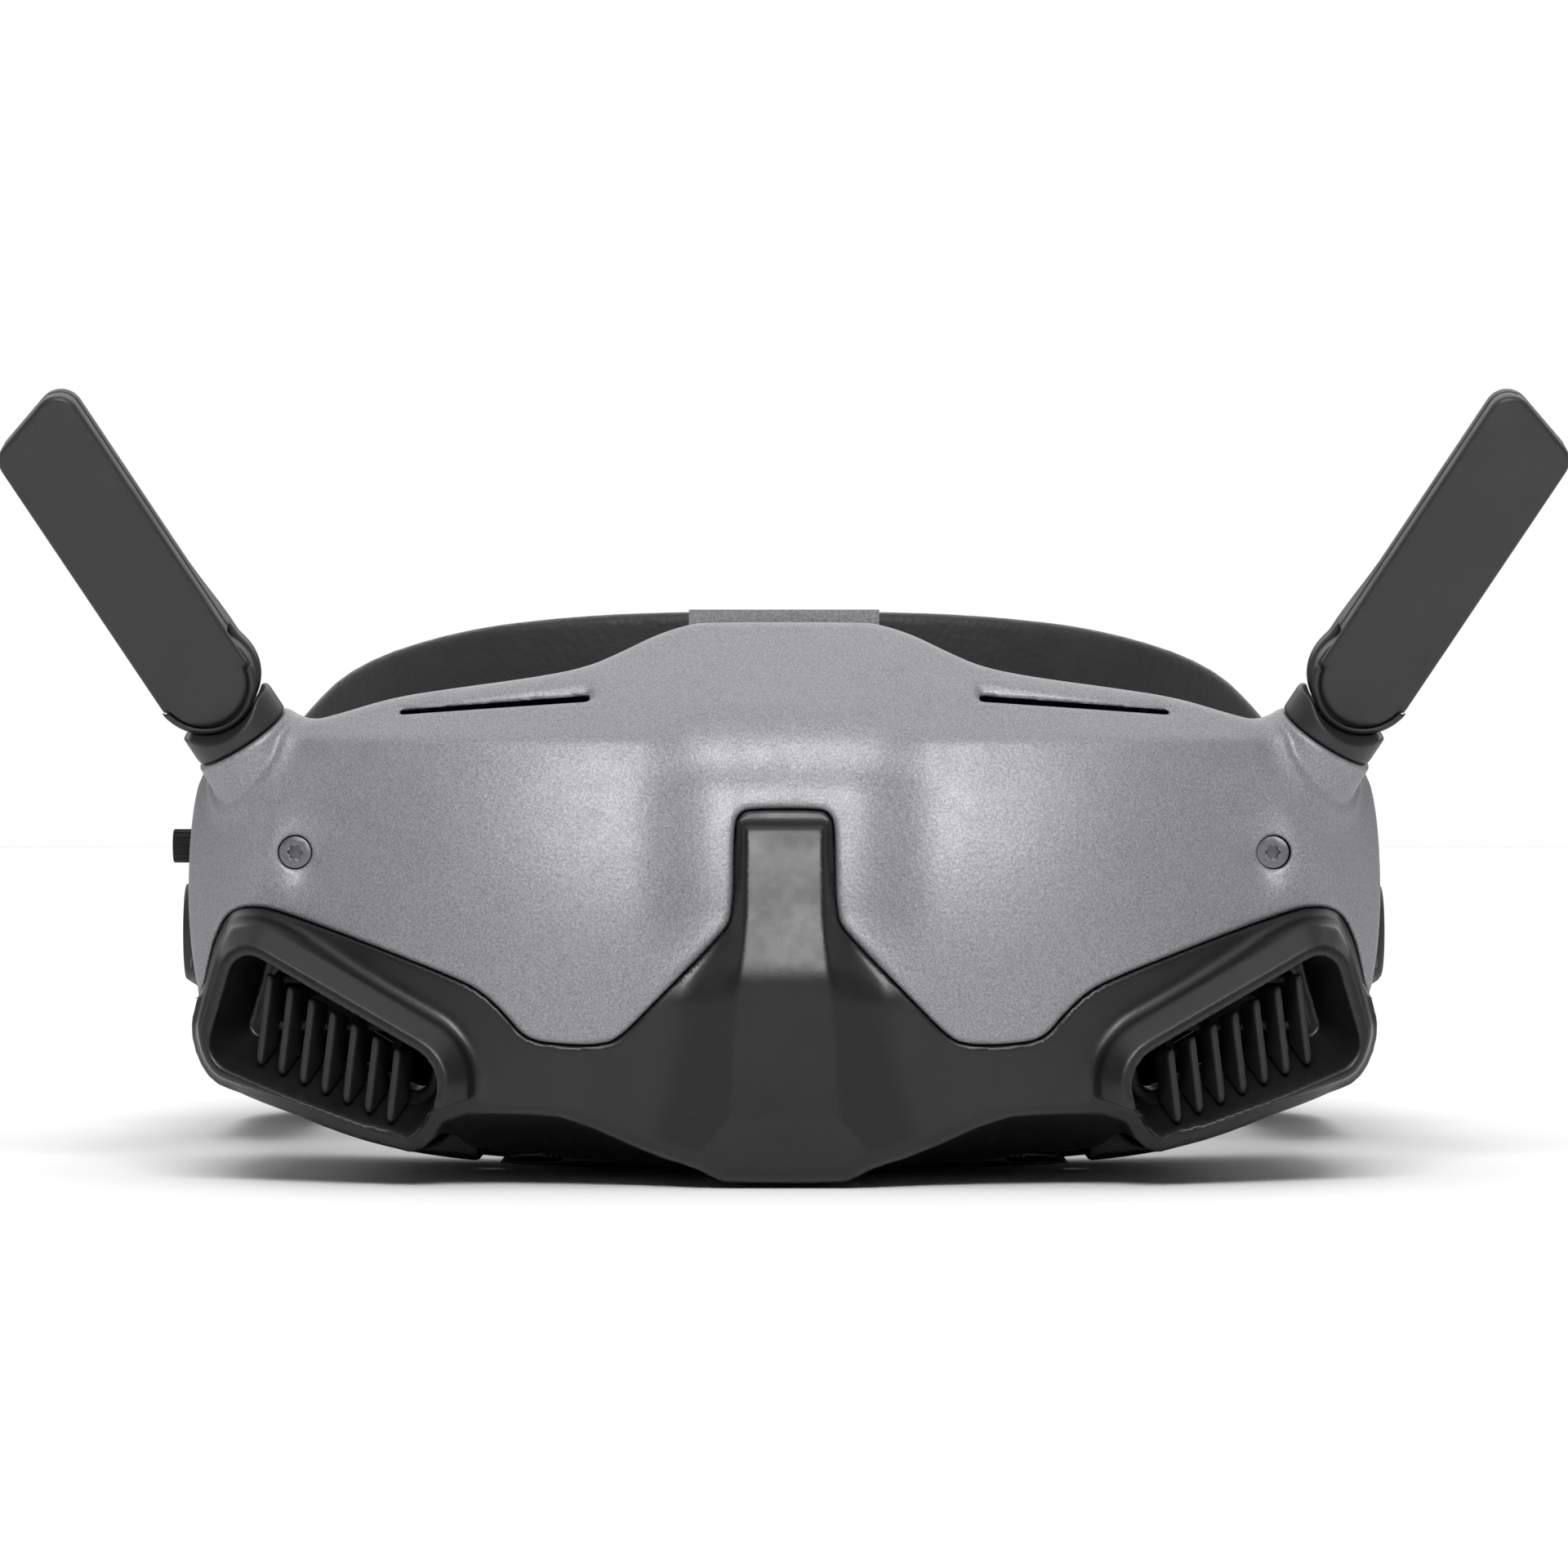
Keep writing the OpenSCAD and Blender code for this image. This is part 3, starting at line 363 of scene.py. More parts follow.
PAINT = cover_paint()
BLACK = moulded("black_moulding", (0.005, 0.005, 0.0054), (0.009, 0.009, 0.0095), 0.38, spec=0.5)
DARK = moulded("dark_moulding", (0.03, 0.03, 0.033), (0.04, 0.04, 0.043), 0.5)
ANTENNA = moulded("antenna_moulding", (0.016, 0.016, 0.017), (0.022, 0.022, 0.023), 0.46,
                  grain_mm=0.28)
BAND = moulded("band_moulding", (0.025, 0.025, 0.028), (0.035, 0.035, 0.038), 0.55,
               grain_mm=0.5, depth_mm=0.05)
GRILLE = moulded("grille_moulding", (0.012, 0.012, 0.013), (0.018, 0.018, 0.02), 0.55)
KEYS = moulded("key_moulding", (0.035, 0.035, 0.038), (0.045, 0.045, 0.05), 0.42)
RUBBER = moulded("soft_rubber", (0.015, 0.015, 0.015), (0.022, 0.022, 0.022), 0.7, spec=0.3)
GLOSS = moulded("display_gloss", (0.004, 0.004, 0.006), (0.01, 0.01, 0.014), 0.12,
                depth_mm=0.002)
LEATHER = leather("cushion_leather", (0.012, 0.012, 0.013), (0.02, 0.02, 0.021))
STEEL = metal("bare_steel", (0.62, 0.62, 0.64), 0.28, (1, 1, 0.15))
SCREW = metal("screw_steel", (0.2, 0.2, 0.21), 0.42)
COPPER = metal("copper_trace", (0.85, 0.5, 0.25), 0.3)
GLASS = lens_glass()
BOARD = circuit_board()
CELL = wrapped_cell()

CAD_LOOKS = {
    "dark_plastic": DARK, "grille_plastic": GRILLE, "screw_steel": SCREW,
    "cushion_leather": LEATHER, "soft_rubber": RUBBER, "bare_metal": STEEL,
    "board_green": BOARD, "lens_glass": GLASS, "display_black": GLOSS,
    "antenna_plastic": ANTENNA, "copper": COPPER, "button_plastic": KEYS,
    "band_plastic": BAND, "battery_wrap": CELL, "cover_paint": PAINT,
}
slot_of = {s["node"]: s["material_slot"] for s in frame["record"]["subparts"]}
for name, obj in nodes.items():
    look = PAINT if name == "strap_loop" else CAD_LOOKS[slot_of[name]]
    for i in range(len(obj.material_slots)):
        obj.material_slots[i].material = look
    if not obj.material_slots:
        obj.data.materials.append(look)

body_of = {n: b for b, names in frame["record"]["behaviour"]["bodies"].items() for n in names}


def softened(node, width_mm, segments=2):
    """A copy of a CAD node with its sharp edges rounded off, shown in its place."""
    source = nodes[node]
    mesh = source.data.copy()
    mesh.name = node + "_soft"
    bm = bmesh.new()
    bm.from_mesh(mesh)
    bmesh.ops.remove_doubles(bm, verts=bm.verts, dist=2e-6)
    flat = [e for e in bm.edges if e.is_manifold and e.calc_face_angle(1) < 0.004]
    bmesh.ops.dissolve_edges(bm, edges=flat, use_verts=False)
    bm.to_mesh(mesh)
    bm.free()
    obj = bpy.data.objects.new(node + "_soft", mesh)
    bpy.context.collection.objects.link(obj)
    bevel = obj.modifiers.new("round", "BEVEL")
    bevel.width = width_mm * MM
    bevel.segments = segments
    bevel.limit_method = "ANGLE"
    bevel.angle_limit = math.radians(38)
    bevel.harden_normals = True
    mesh.shade_smooth()
    return dress(obj, body_of[node], CAD_LOOKS[slot_of[node]], slot_of[node], node)


# -------------------------------------------------------- sculpted front shape

WALL = 1.8
SPLIT_Y = 46.0                     # where the front shells meet the rear housing
STEP = 0.42                        # grid step of the front shells
LOBE_X, LOBE_Z = 22.0, 26.0        # the most forward place of a lobe
TEMPLE_X = 66.0                    # the flanks turn back outside this x
BROW_Z, BROW_SLOPE = 56.5, 0.95    # the crease, and the slope of the plateau above it
VALLEY = 3.2                       # depth of the hollow between the lobes


def plain_skin(x, z):
    """Depth of the cover: two lobes, a valley between them, a brow sloping back."""
    u = np.abs(x)
    return (
        2.5
        + 0.0088 * np.maximum(u - LOBE_X, 0) ** 2
        + 0.055 * np.maximum(u - TEMPLE_X, 0) ** 2
        + np.where(z > LOBE_Z, 0.0085, 0.003) * (z - LOBE_Z) ** 2
        + BROW_SLOPE * ramp(z - BROW_Z, 0.7) * ease(12, 19, u)
        + BROW_SLOPE * ramp(z - BROW_Z, 5.0) * (1 - ease(12, 19, u))
        + VALLEY * ease(21, 35, z) * (1 - ease(49, 61, z)) * (1 - ease(8, 20, u))
    )


SCREW_X, SCREW_Z = -63.0, 42.0     # the left cover screw
SCREW_Y = float(plain_skin(np.array(SCREW_X), np.array(SCREW_Z)))
SCREW_SEAT = SCREW_Y + 0.85


def skin_y(x, z):
    """The cover's depth, with a level seat around each screw."""
    far = np.maximum(np.hypot(np.abs(x) + SCREW_X, z - SCREW_Z) - 2, 0)
    return SCREW_SEAT + (plain_skin(x, z) - SCREW_SEAT) * far ** 2 / (far ** 2 + 10)


RIDGE_BEND_Z, RIDGE_TOP_Z = 26.5, 45.3
CHIN_Z = 8.3


def ridge_y(x, z):
    """Depth of the nose ridge: a blade that bends back at its middle and opens into wings."""
    u = np.abs(x)
    half = 5 + 0.07 * np.maximum(34 - z, 0)
    front = 0.4 * ramp(z - RIDGE_BEND_Z, 2) + 2.2 * ramp(z - RIDGE_TOP_Z, 0.3)
    side = ramp(u - half, 0.3) * (0.4 + 2.2 * ease(23, 40, z))
    chin = 0.3 * ramp(CHIN_Z - z, 0.4)
    return blend_max(front + side, chin, 0.15)


# Half outlines seen from the front, as x and z. The seam runs between cover and lower frame.
SEAM = [
    (4.4, 47.7), (5.7, 47.1), (6.4, 45.6), (6.5, 34), (7.8, 31.9), (16.3, 23.3),
    (20.5, 19), (22.6, 17.9), (27, 17.8), (31.3, 18.2), (33.3, 19.2), (35.2, 21.5),
    (38.1, 24.3), (41.2, 26), (53.5, 30.6), (61.1, 33.2), (66.2, 34.8), (68.5, 35),
    (70.5, 34.8), (72.3, 33.8), (73.3, 32.2), (74.5, 29.6), (76.2, 22),
]
COVER_TOP = [
    (77.6, 27), (78.5, 35.7), (78.1, 46.7), (76.6, 53), (70.2, 57.2), (60.2, 59.3),
    (57.2, 60.1), (50.5, 62.1), (41.4, 63.4), (32.4, 64.6), (25.7, 65.9), (21.1, 68),
    (16.7, 70.3), (12.5, 71.7), (10, 72),
]
FRAME_BOTTOM = [
    (7.2, 0), (8.8, 0.6), (11.5, 2.1), (16.7, 3.5), (27.1, 8.2), (33.1, 8.7),
    (42.6, 8.6), (45, 4.6), (48.5, 3.2), (71.1, 10.7), (74.2, 12.1), (76.2, 15),
]
HOUSING = [
    (10, 70.4), (13, 69.9), (21.5, 66.9), (26, 65), (32.4, 63.6), (41.4, 62.4),
    (50.5, 61.1), (57.2, 59.2), (60.2, 58.4), (70, 56.4), (76.2, 52.4), (78, 46.4),
    (78.5, 35.7), (78.2, 27), (76.8, 19), (72.6, 11.8), (62.8, 6.4), (50.7, 2.4),
    (34.5, 0.6), (19.3, 0.2),
]
cover_line = rounded(mirrored(COVER_TOP[::-1] + SEAM[::-1]))
FRAME_SIDE = SEAM[:-1] + [(76.6, 22), (77.2, 19)]
frame_line = rounded(mirrored(FRAME_SIDE + FRAME_BOTTOM[::-1]), 1)
front_line = rounded(mirrored(COVER_TOP[::-1] + FRAME_BOTTOM[::-1]))
# Edge of the frame's underside behind the chin.
UNDERSIDE = [
    (7.2, 0), (11.5, 0.5), (19.3, 1.2), (34.5, 2.2), (44, 3.4), (48.5, 3.6), (71.1, 10.7),
    (74.2, 12.1), (76.2, 15),
]
under_line = rounded(mirrored(FRAME_SIDE + UNDERSIDE[::-1]), 1)
housing_line = rounded(mirrored(HOUSING))
# The face cushion, and the opening in it for the eyes and the nose.
CUSHION = [
    (12.2, 74.9), (28.8, 74.3), (44.3, 72.5), (58.8, 68), (66.5, 60.9), (73, 52),
    (75.6, 42), (75.6, 30), (74, 20), (69, 11), (58, 5), (40, 1.6), (24, 1.2),
    (18.5, 4), (14.5, 13), (9, 21.5), (3, 24.6),
]
EYES = [
    (20, 61.5), (40, 60.5), (54, 56), (61, 48.5), (63.5, 38), (61.5, 26), (55, 17.5),
    (42, 13.2), (28, 13), (23.5, 15.5), (18, 24.5), (11.5, 30.5), (4, 32.6),
]
cushion_line = rounded(mirrored(CUSHION))
eye_line = rounded(mirrored(EYES))
BROW_Y, FACE_R = 76.0, 100.254      # the curve of the face
PANEL_Y = 52.0


def depth_field(surface, x, y, z):
    """Distance in front of a surface y = surface(x, z); negative behind it."""
    ys = surface(x[:, 0], z[:, 0]) if x.ndim == 3 else surface(x, z)
    gx, gz = np.gradient(ys, x[1, 0, 0] - x[0, 0, 0], z[0, 0, 1] - z[0, 0, 0])
    steep = np.sqrt(1 + np.minimum(gx ** 2 + gz ** 2, 9))
    return (ys[:, None, :] - y) / steep[:, None, :]


# Antenna stance, as in the CAD source.
ANT = Vector((-70.4, 31, 56.9))
ANT_TURN = (
    Matrix.Rotation(math.radians(-33), 3, "Y")
    @ Matrix.Rotation(math.radians(14), 3, "X")
    @ Matrix.Rotation(math.radians(-12), 3, "Z")
)
HINGE_UP = 9.2
NECK_R = 6.6


def antenna_coords(x, y, z):
    """Coordinates in the left antenna's own frame."""
    d = [x - ANT.x, y - ANT.y, z - ANT.z]
    turn = np.array(ANT_TURN)
    return [sum(turn[i][k] * d[i] for i in range(3)) for k in range(3)]


def drill(body, x, y, z, cx, cz, r, deep, edge=0.25):
    """Cut a blind round hole along y, from the front down to depth deep."""
    hole = np.maximum(np.hypot(x - cx, z - cz) - r, y - deep)
    return blend_max(body, -hole, edge)


SLOT = (-49.4, 59.9, -25.4, 61.6)   # x and z of the slot's two ends


def slot_along(x):
    """How far along the slot below the cover's top edge, and its height there."""
    t = (x - SLOT[0]) / (SLOT[2] - SLOT[0])
    return t, SLOT[1] + t * (SLOT[3] - SLOT[1])


def scooped_skin(x, z):
    """The cover's depth, pressed in above the slot."""
    t, level = slot_along(x)
    up = z - level
    tall = 0.6 + 2.2 * np.clip(t, 0, 1)
    dent = (0.4 + 1.5 * np.clip(t, 0, 1)) * (1 - ease(0, 1, up / tall)) * ease(-0.4, 0.3, up)
    return skin_y(x, z) + dent * ease(-0.05, 0.1, t) * ease(1.07, 0.99, t)


def slot_field(x, z):
    """The tapered slot, seen from the front."""
    t, level = slot_along(x)
    far = np.hypot(z - level - 0.15, np.maximum(np.abs(t - 0.5) - 0.5, 0) * (SLOT[2] - SLOT[0]))
    return far - (0.31 + 0.09 * np.clip(t, 0, 1))


def make_cover():
    lo = (-81, -1, 15)
    x, y, z = axes(lo, (0, 48, 75), STEP)
    edge = outline_distance(cover_line, x[:, 0], z[:, 0])[:, None, :]
    whole = outline_distance(front_line, x[:, 0], z[:, 0])[:, None, :]
    front = depth_field(scooped_skin, x, y, z)
    body = blend_max(front, edge, 0.9)
    body = np.maximum(body, y - SPLIT_Y)
    # Boss that carries the antenna's neck.
    ax, ay, az = antenna_coords(x, y, z)
    radius = np.hypot(ax, ay)
    boss = blend_max(radius - NECK_R - 0.35 + 0.05 * az, az, 0.5)
    boss = np.maximum(boss, -az - 15)
    cave = np.maximum(np.maximum(front + WALL, edge + WALL), y - SPLIT_Y - 2)
    passage = np.maximum(np.maximum(skin_y(x, z) + 8 - y, whole + WALL), y - SPLIT_Y - 2)
    body = blend_min(body, np.maximum(boss, front + 0.3), 3.5)
    body = blend_max(body, -np.minimum(cave, passage), 0.2)
    stem = np.maximum(boss, -az - 10)
    body = np.minimum(body, stem)
    body = np.maximum(body, -np.maximum(radius - 4.1, np.abs(az + 4) - 6.5))
    body = np.maximum(body, -np.maximum(radius - 5.8, np.abs(az + 16) - 7))
    # Screw pocket, and the slot in the plateau.
    body = drill(body, x, y, z, SCREW_X, SCREW_Z, 2.2, SCREW_Y + 2.8)
    body = np.maximum(body, -np.maximum(slot_field(x, z), y - 36))
    piece = piece_from_field("front_cover_shell", flip(body), lo, STEP)
    return dress(piece, "goggles", PAINT, "cover_paint", "front_cover")


# The intake's rim is the hull of these circles: x, z and radius.
POD = [(-68.4, 25.9, 4.2), (-69.8, 17.7, 5.2), (-49.6, 10.8, 6.6), (-49.2, 12.5, 6.6)]
POD_FACE = 0.42                    # how the rim's plane turns outwards
POD_RIM = 1.3
POD_DEEP = 9.0
POD_DRIFT = (2.6, 2.2)             # how far the recess leans inwards and up
GRIP_X, GRIP_Z, GRIP_HALF = 34.6, 2.5, 5.3


def hull_of_circles(circles):
    """Outline of the convex hull of circles."""
    turn = np.linspace(0, 2 * np.pi, 48, endpoint=False)
    dots = np.concatenate([
        np.stack([cx + r * np.cos(turn), cz + r * np.sin(turn)], axis=1)
        for cx, cz, r in circles
    ])
    order = dots[np.lexsort((dots[:, 1], dots[:, 0]))]

    def half(run):
        out = []
        for p in run:
            while len(out) > 1 and np.cross(out[-1] - out[-2], p - out[-2]) <= 0:
                out.pop()
            out.append(p)
        return out[:-1]

    return np.array(half(order) + half(order[::-1]))


class FlatField:
    """A 2-D distance table that can be looked up at any x and z."""

    def __init__(self, outline, lo, hi, step):
        self.lo, self.step = lo, step
        xs = np.arange(lo[0], hi[0], step)
        zs = np.arange(lo[1], hi[1], step)
        self.table = outline_distance(outline, xs[:, None], zs[None, :])

    def __call__(self, x, z):
        u = np.clip((x - self.lo[0]) / self.step, 0, self.table.shape[0] - 1.001)
        v = np.clip((z - self.lo[1]) / self.step, 0, self.table.shape[1] - 1.001)
        i, j = u.astype(int), v.astype(int)
        u, v = u - i, v - j
        t = self.table
        return ((t[i, j] * (1 - u) + t[i + 1, j] * u) * (1 - v)
                + (t[i, j + 1] * (1 - u) + t[i + 1, j + 1] * u) * v)


pod_map = FlatField(hull_of_circles(POD), (-88, -8), (-30, 46), 0.25)


def pod_fields(x, y, z):
    """The pod's solid, and its recess, around the left intake."""
    deep = (y - 2 + POD_FACE * (x + 44))
    t = np.clip(deep, -2, 16)
    plain = pod_map(x + 0 * t, z + 0 * t)
    chamfer = 2.7 * np.clip(t / 3.2, 0, 1) + 0.3 * np.clip(t - 3.2, 0, 9)
    solid = blend_max(0.8 * (plain - chamfer), -deep / 1.08, 0.2)
    solid = np.maximum(solid, deep - POD_DEEP - 3)
    drift_x = x - POD_DRIFT[0] * t / POD_DEEP
    drift_z = z - POD_DRIFT[1] * t / POD_DEEP
    inner = pod_map(drift_x, drift_z)
    recess = inner + POD_RIM + 2.2 * np.clip(t / POD_DEEP, 0, 1)
    recess = np.maximum(recess, deep - POD_DEEP)
    passage = np.maximum(inner + POD_RIM + 3.8, deep - POD_DEEP - 6)
    return solid, np.minimum(recess, passage)


def make_lower_frame():
    lo = (-81, -3, -2)
    x, y, z = axes(lo, (0, 48, 52), STEP)
    seam = outline_distance(frame_line, x[:, 0], z[:, 0])[:, None, :] + 0.15
    # Behind the chin the lower edge runs down to the housing.
    low = outline_distance(under_line, x[:, 0], z[:, 0])[:, None, :] + 0.15
    seam = seam + (low - seam) * ease(9, 34, y) * ease(46, 40, np.abs(x))
    whole = outline_distance(front_line, x[:, 0], z[:, 0])[:, None, :]
    field = depth_field(lambda a, b: blend_min(skin_y(a, b) + 0.35, ridge_y(a, b), 0.8), x, y, z)
    body = blend_max(field, seam, 0.35 + 2.1 * ease(13, 8, z))
    body = np.maximum(body, y - SPLIT_Y)
    cave = np.maximum(np.maximum(field + WALL, seam + WALL), y - SPLIT_Y - 2)
    passage = np.maximum(np.maximum(skin_y(x, z) + 8 - y, whole + WALL), y - SPLIT_Y - 2)
    body = blend_max(body, -np.minimum(cave, passage), 0.2)
    solid, recess = pod_fields(x, y, z)
    solid = blend_max(solid, seam + 2.0 * ease(38, 8, y), 0.5)
    body = blend_min(body, solid, 1.5)
    foot = np.maximum(np.maximum(np.abs(x) - 7, np.abs(z - 0.9) - 0.9), np.abs(y - 28) - 18)
    body = np.minimum(body, foot)
    body = blend_max(body, -recess, 0.2)
    # Notch around the eyepiece's grip.
    notch = np.maximum(np.abs(z - GRIP_Z) - 1.1, 30 - y)
    notch = np.maximum(np.abs(x + GRIP_X) - GRIP_HALF, notch)
    body = blend_max(body, -notch, 0.6)
    piece = piece_from_field("lower_frame_shell", flip(body), lo, STEP)
    return dress(piece, "goggles", BLACK, "dark_plastic", "lower_frame")


BLADES, BLADE_PITCH, FIRST_BLADE = 7, 2.98, -66.9
BLADE_ROW = FIRST_BLADE + BLADE_PITCH * (BLADES - 1) / 2


def make_grille():
    """Seven leaning blades across the intake, tied together by two bars behind them."""
    step = 0.3
    lo = (-79, 0, 4)
    x, y, z = axes(lo, (-39, 32, 33), step)
    deep = y - 2 + POD_FACE * (x + 44)
    t = np.clip(deep, -2, 16)
    around = pod_map(x - POD_DRIFT[0] * t / POD_DEEP, z - POD_DRIFT[1] * t / POD_DEEP)
    around = around + POD_RIM + 0.25 + 2.2 * np.clip(t / POD_DEEP, 0, 1)
    lean = 0.12 * (z - 19) + 0.26 * (deep - 2)
    blades = np.full(t.shape, 1e3)
    for i in range(BLADES):
        middle = FIRST_BLADE + BLADE_PITCH * i
        blades = np.minimum(blades, np.abs(x - middle - lean) - 0.5)
    span = blend_max(2.4 - deep, around, 1.8)
    span = blend_max(span, pod_map(x + 0 * t, z + 0 * t) + POD_RIM + 1.0, 0.8)
    blades = blend_max(blend_max(blades, span, 0.5), deep - POD_DEEP + 0.5, 0.3)
    for level in (17.5, 23.5):
        bar = np.maximum(np.abs(z - level - 2.2) - 0.5, np.abs(deep - 7.9) - 0.5)
        bar = np.maximum(bar, np.abs(x - lean - BLADE_ROW) - 9.2)
        blades = blend_min(blades, np.maximum(bar, around), 0.3)
    for side, flipped in (("left", False), ("right", True)):
        place = Matrix.Translation((0, FRONT, 0))
        if flipped:
            place = place @ Matrix.Scale(-1, 4, (1, 0, 0))
        piece = piece_from_field("grille_blades_" + side, blades, lo, step, place)
        dress(piece, "goggles", GRILLE, "grille_plastic", "vent_grille_" + side)


# --------------------------------------------------------------- rear housing

def face_side(x, y, d):
    """Distance inside the face curve moved forwards by d (negative in front of it)."""
    return FACE_R + d - np.hypot(x, y - BROW_Y - FACE_R)


def side_hole(y, z, at, r):
    """A round hole along x."""
    return np.hypot(y - at[0], z - at[1]) - r


def side_slot(y, z, at, width, height, r=0.6):
    """A slot along x with corners of radius r."""
    dy = np.abs(y - at[0]) - width / 2 + r
    dz = np.abs(z - at[1]) - height / 2 + r
    return np.hypot(np.maximum(dy, 0), np.maximum(dz, 0)) - r


# Places on the flanks, as y and z: keys on the left one, sockets on the right one.
STICK = (60.4, 42.5)
BACK_KEY = (69.9, 42.5)
RECORD_KEY = (60.4, 33)
LINK_KEY = (67.9, 33.5)
USB = (60.4, 29)
CARD = (60.4, 36)
AUDIO = (62.4, 45)
PIVOT = (78.0, 30.7)
GREY_FROM = 21.0                   # the housing is grey above this height


def make_housing():
    step = 0.6
    lo = (-81, 38, -2)
    x, y, z = axes(lo, (81, 108, 73), step)
    outline = outline_distance(housing_line, x[:, 0], z[:, 0])[:, None, :]
    whole = outline_distance(front_line, x[:, 0], z[:, 0])[:, None, :]
    face = face_side(x, y, 18)
    body = blend_max(blend_max(outline, face, 1.0), SPLIT_Y + 0.2 - y, 0.3)
    body = np.maximum(body, -np.maximum(outline + WALL, SPLIT_Y - y))
    # Panel ledge, lip under the lower frame, screw posts and pivot bosses.
    ledge = np.maximum(np.maximum(outline + 0.9, -outline - 3.4), np.abs(y - PANEL_Y + 1) - 1)
    lip = np.maximum(np.maximum(outline, 0.3 - whole), np.abs(y - 43.1) - 3.1)
    post = np.maximum(np.hypot(np.abs(x) + SCREW_X, z - SCREW_Z) - 2.7, np.abs(y - 43.5) - 7.4)
    boss = np.maximum(side_hole(y, z, PIVOT, 5), np.abs(np.abs(x) - 75) - 2.5)
    for part in (ledge, lip, post, boss):
        body = np.minimum(body, part)
    left, right = x + 70, 70 - x
    for at, r in ((STICK, 2.8), (BACK_KEY, 3.1), (RECORD_KEY, 3.1), (LINK_KEY, 1.6)):
        body = blend_max(body, -np.maximum(side_hole(y, z, at, r), left), 0.3)
    for hole in (side_slot(y, z, USB, 9.4, 3.6, 1.7), side_slot(y, z, CARD, 12.4, 2),
                 side_hole(y, z, AUDIO, 3.0)):
        body = blend_max(body, -np.maximum(hole, right), 0.3)
    body = np.maximum(body, -np.maximum(side_hole(y, z, PIVOT, 2.5), 72 - np.abs(x)))
    notch = np.maximum(np.abs(z - GRIP_Z) - 1.1, y - 55)
    notch = np.maximum(np.abs(np.abs(x) - GRIP_X) - GRIP_HALF, notch)
    body = blend_max(body, -notch, 0.3)
    # Parting groove between the grey sides and the black underside.
    groove = np.maximum(np.abs(z - GREY_FROM) - 0.2, -outline - 0.35)
    body = blend_max(body, -np.maximum(groove, SPLIT_Y + 0.2 - y), 0.15)
    piece = piece_from_field("rear_housing_shell", body, lo, step)
    dress(piece, "goggles", PAINT, "dark_plastic", "rear_housing")
    piece.data.materials.append(BLACK)
    mesh = piece.data
    for face in mesh.polygons:
        if face.center.z / MM < GREY_FROM:
            face.material_index = 1


def make_cushion_frame():
    """The carrier of the face cushion, wrapped in leather."""
    step = 0.6
    lo = (-80, 54, -2)
    x, y, z = axes(lo, (0, 98, 77), step)
    outer = outline_distance(cushion_line, x[:, 0], z[:, 0])[:, None, :] + 0.9
    hole = -outline_distance(eye_line, x[:, 0], z[:, 0])[:, None, :] + 1.2
    body = blend_max(blend_max(outer, face_side(x, y, 15), 0.6), -face_side(x, y, 18), 1.6)
    body = blend_max(body, hole, 0.5)
    piece = piece_from_field("cushion_carrier", flip(body), lo, step)
    dress(piece, "goggles", LEATHER, "dark_plastic", "cushion_frame")


# ------------------------------------------------------------------- soft pads

def inflate(obj, voxel_mm, cap_mm, keep_seated, pressure=4.0, frames=20):
    """Remesh a closed form and let it swell as cloth, its seat held in place."""
    bpy.context.view_layer.objects.active = obj
    remesh = obj.modifiers.new("voxels", "REMESH")
    remesh.mode = "VOXEL"
    remesh.voxel_size = voxel_mm * MM
    remesh.use_smooth_shade = True
    apply_modifiers(obj)
    start = np.empty(len(obj.data.vertices) * 3)
    obj.data.vertices.foreach_get("co", start)
    start = start.reshape(-1, 3)
    seated = keep_seated(start / MM - np.array([0, FRONT, 0]))
    group = obj.vertex_groups.new(name="seat")
    group.add([int(i) for i in np.flatnonzero(seated)], 1.0, "REPLACE")
    cloth = obj.modifiers.new("cloth", "CLOTH")
    cloth.settings.use_pressure = True
    cloth.settings.uniform_pressure_force = pressure
    cloth.settings.effector_weights.gravity = 0
    cloth.settings.vertex_group_mass = "seat"
    cloth.settings.tension_stiffness = 8
    cloth.settings.compression_stiffness = 8
    cloth.settings.bending_stiffness = 0.3
    cloth.point_cache.frame_start = 1
    cloth.point_cache.frame_end = frames
    for number in range(1, frames + 1):
        bpy.context.scene.frame_set(number)
    apply_modifiers(obj)
    bpy.context.scene.frame_set(1)
    swollen = np.empty(start.size)
    obj.data.vertices.foreach_get("co", swollen)
    move = swollen.reshape(-1, 3) - start
    length = np.linalg.norm(move, axis=1, keepdims=True)
    move *= np.minimum(1, cap_mm * MM / np.maximum(length, 1e-9))
    obj.data.vertices.foreach_set("co", (start + move).ravel())
    subdivide = obj.modifiers.new("smooth", "SUBSURF")
    subdivide.levels = 1
    subdivide.render_levels = 1
    apply_modifiers(obj)
    obj.vertex_groups.clear()
    obj.data.shade_smooth()


def apply_modifiers(obj):
    """Swap the object's mesh for the one that its modifiers give."""
    deps = bpy.context.evaluated_depsgraph_get()
    mesh = bpy.data.meshes.new_from_object(obj.evaluated_get(deps))
    obj.modifiers.clear()
    obj.data = mesh


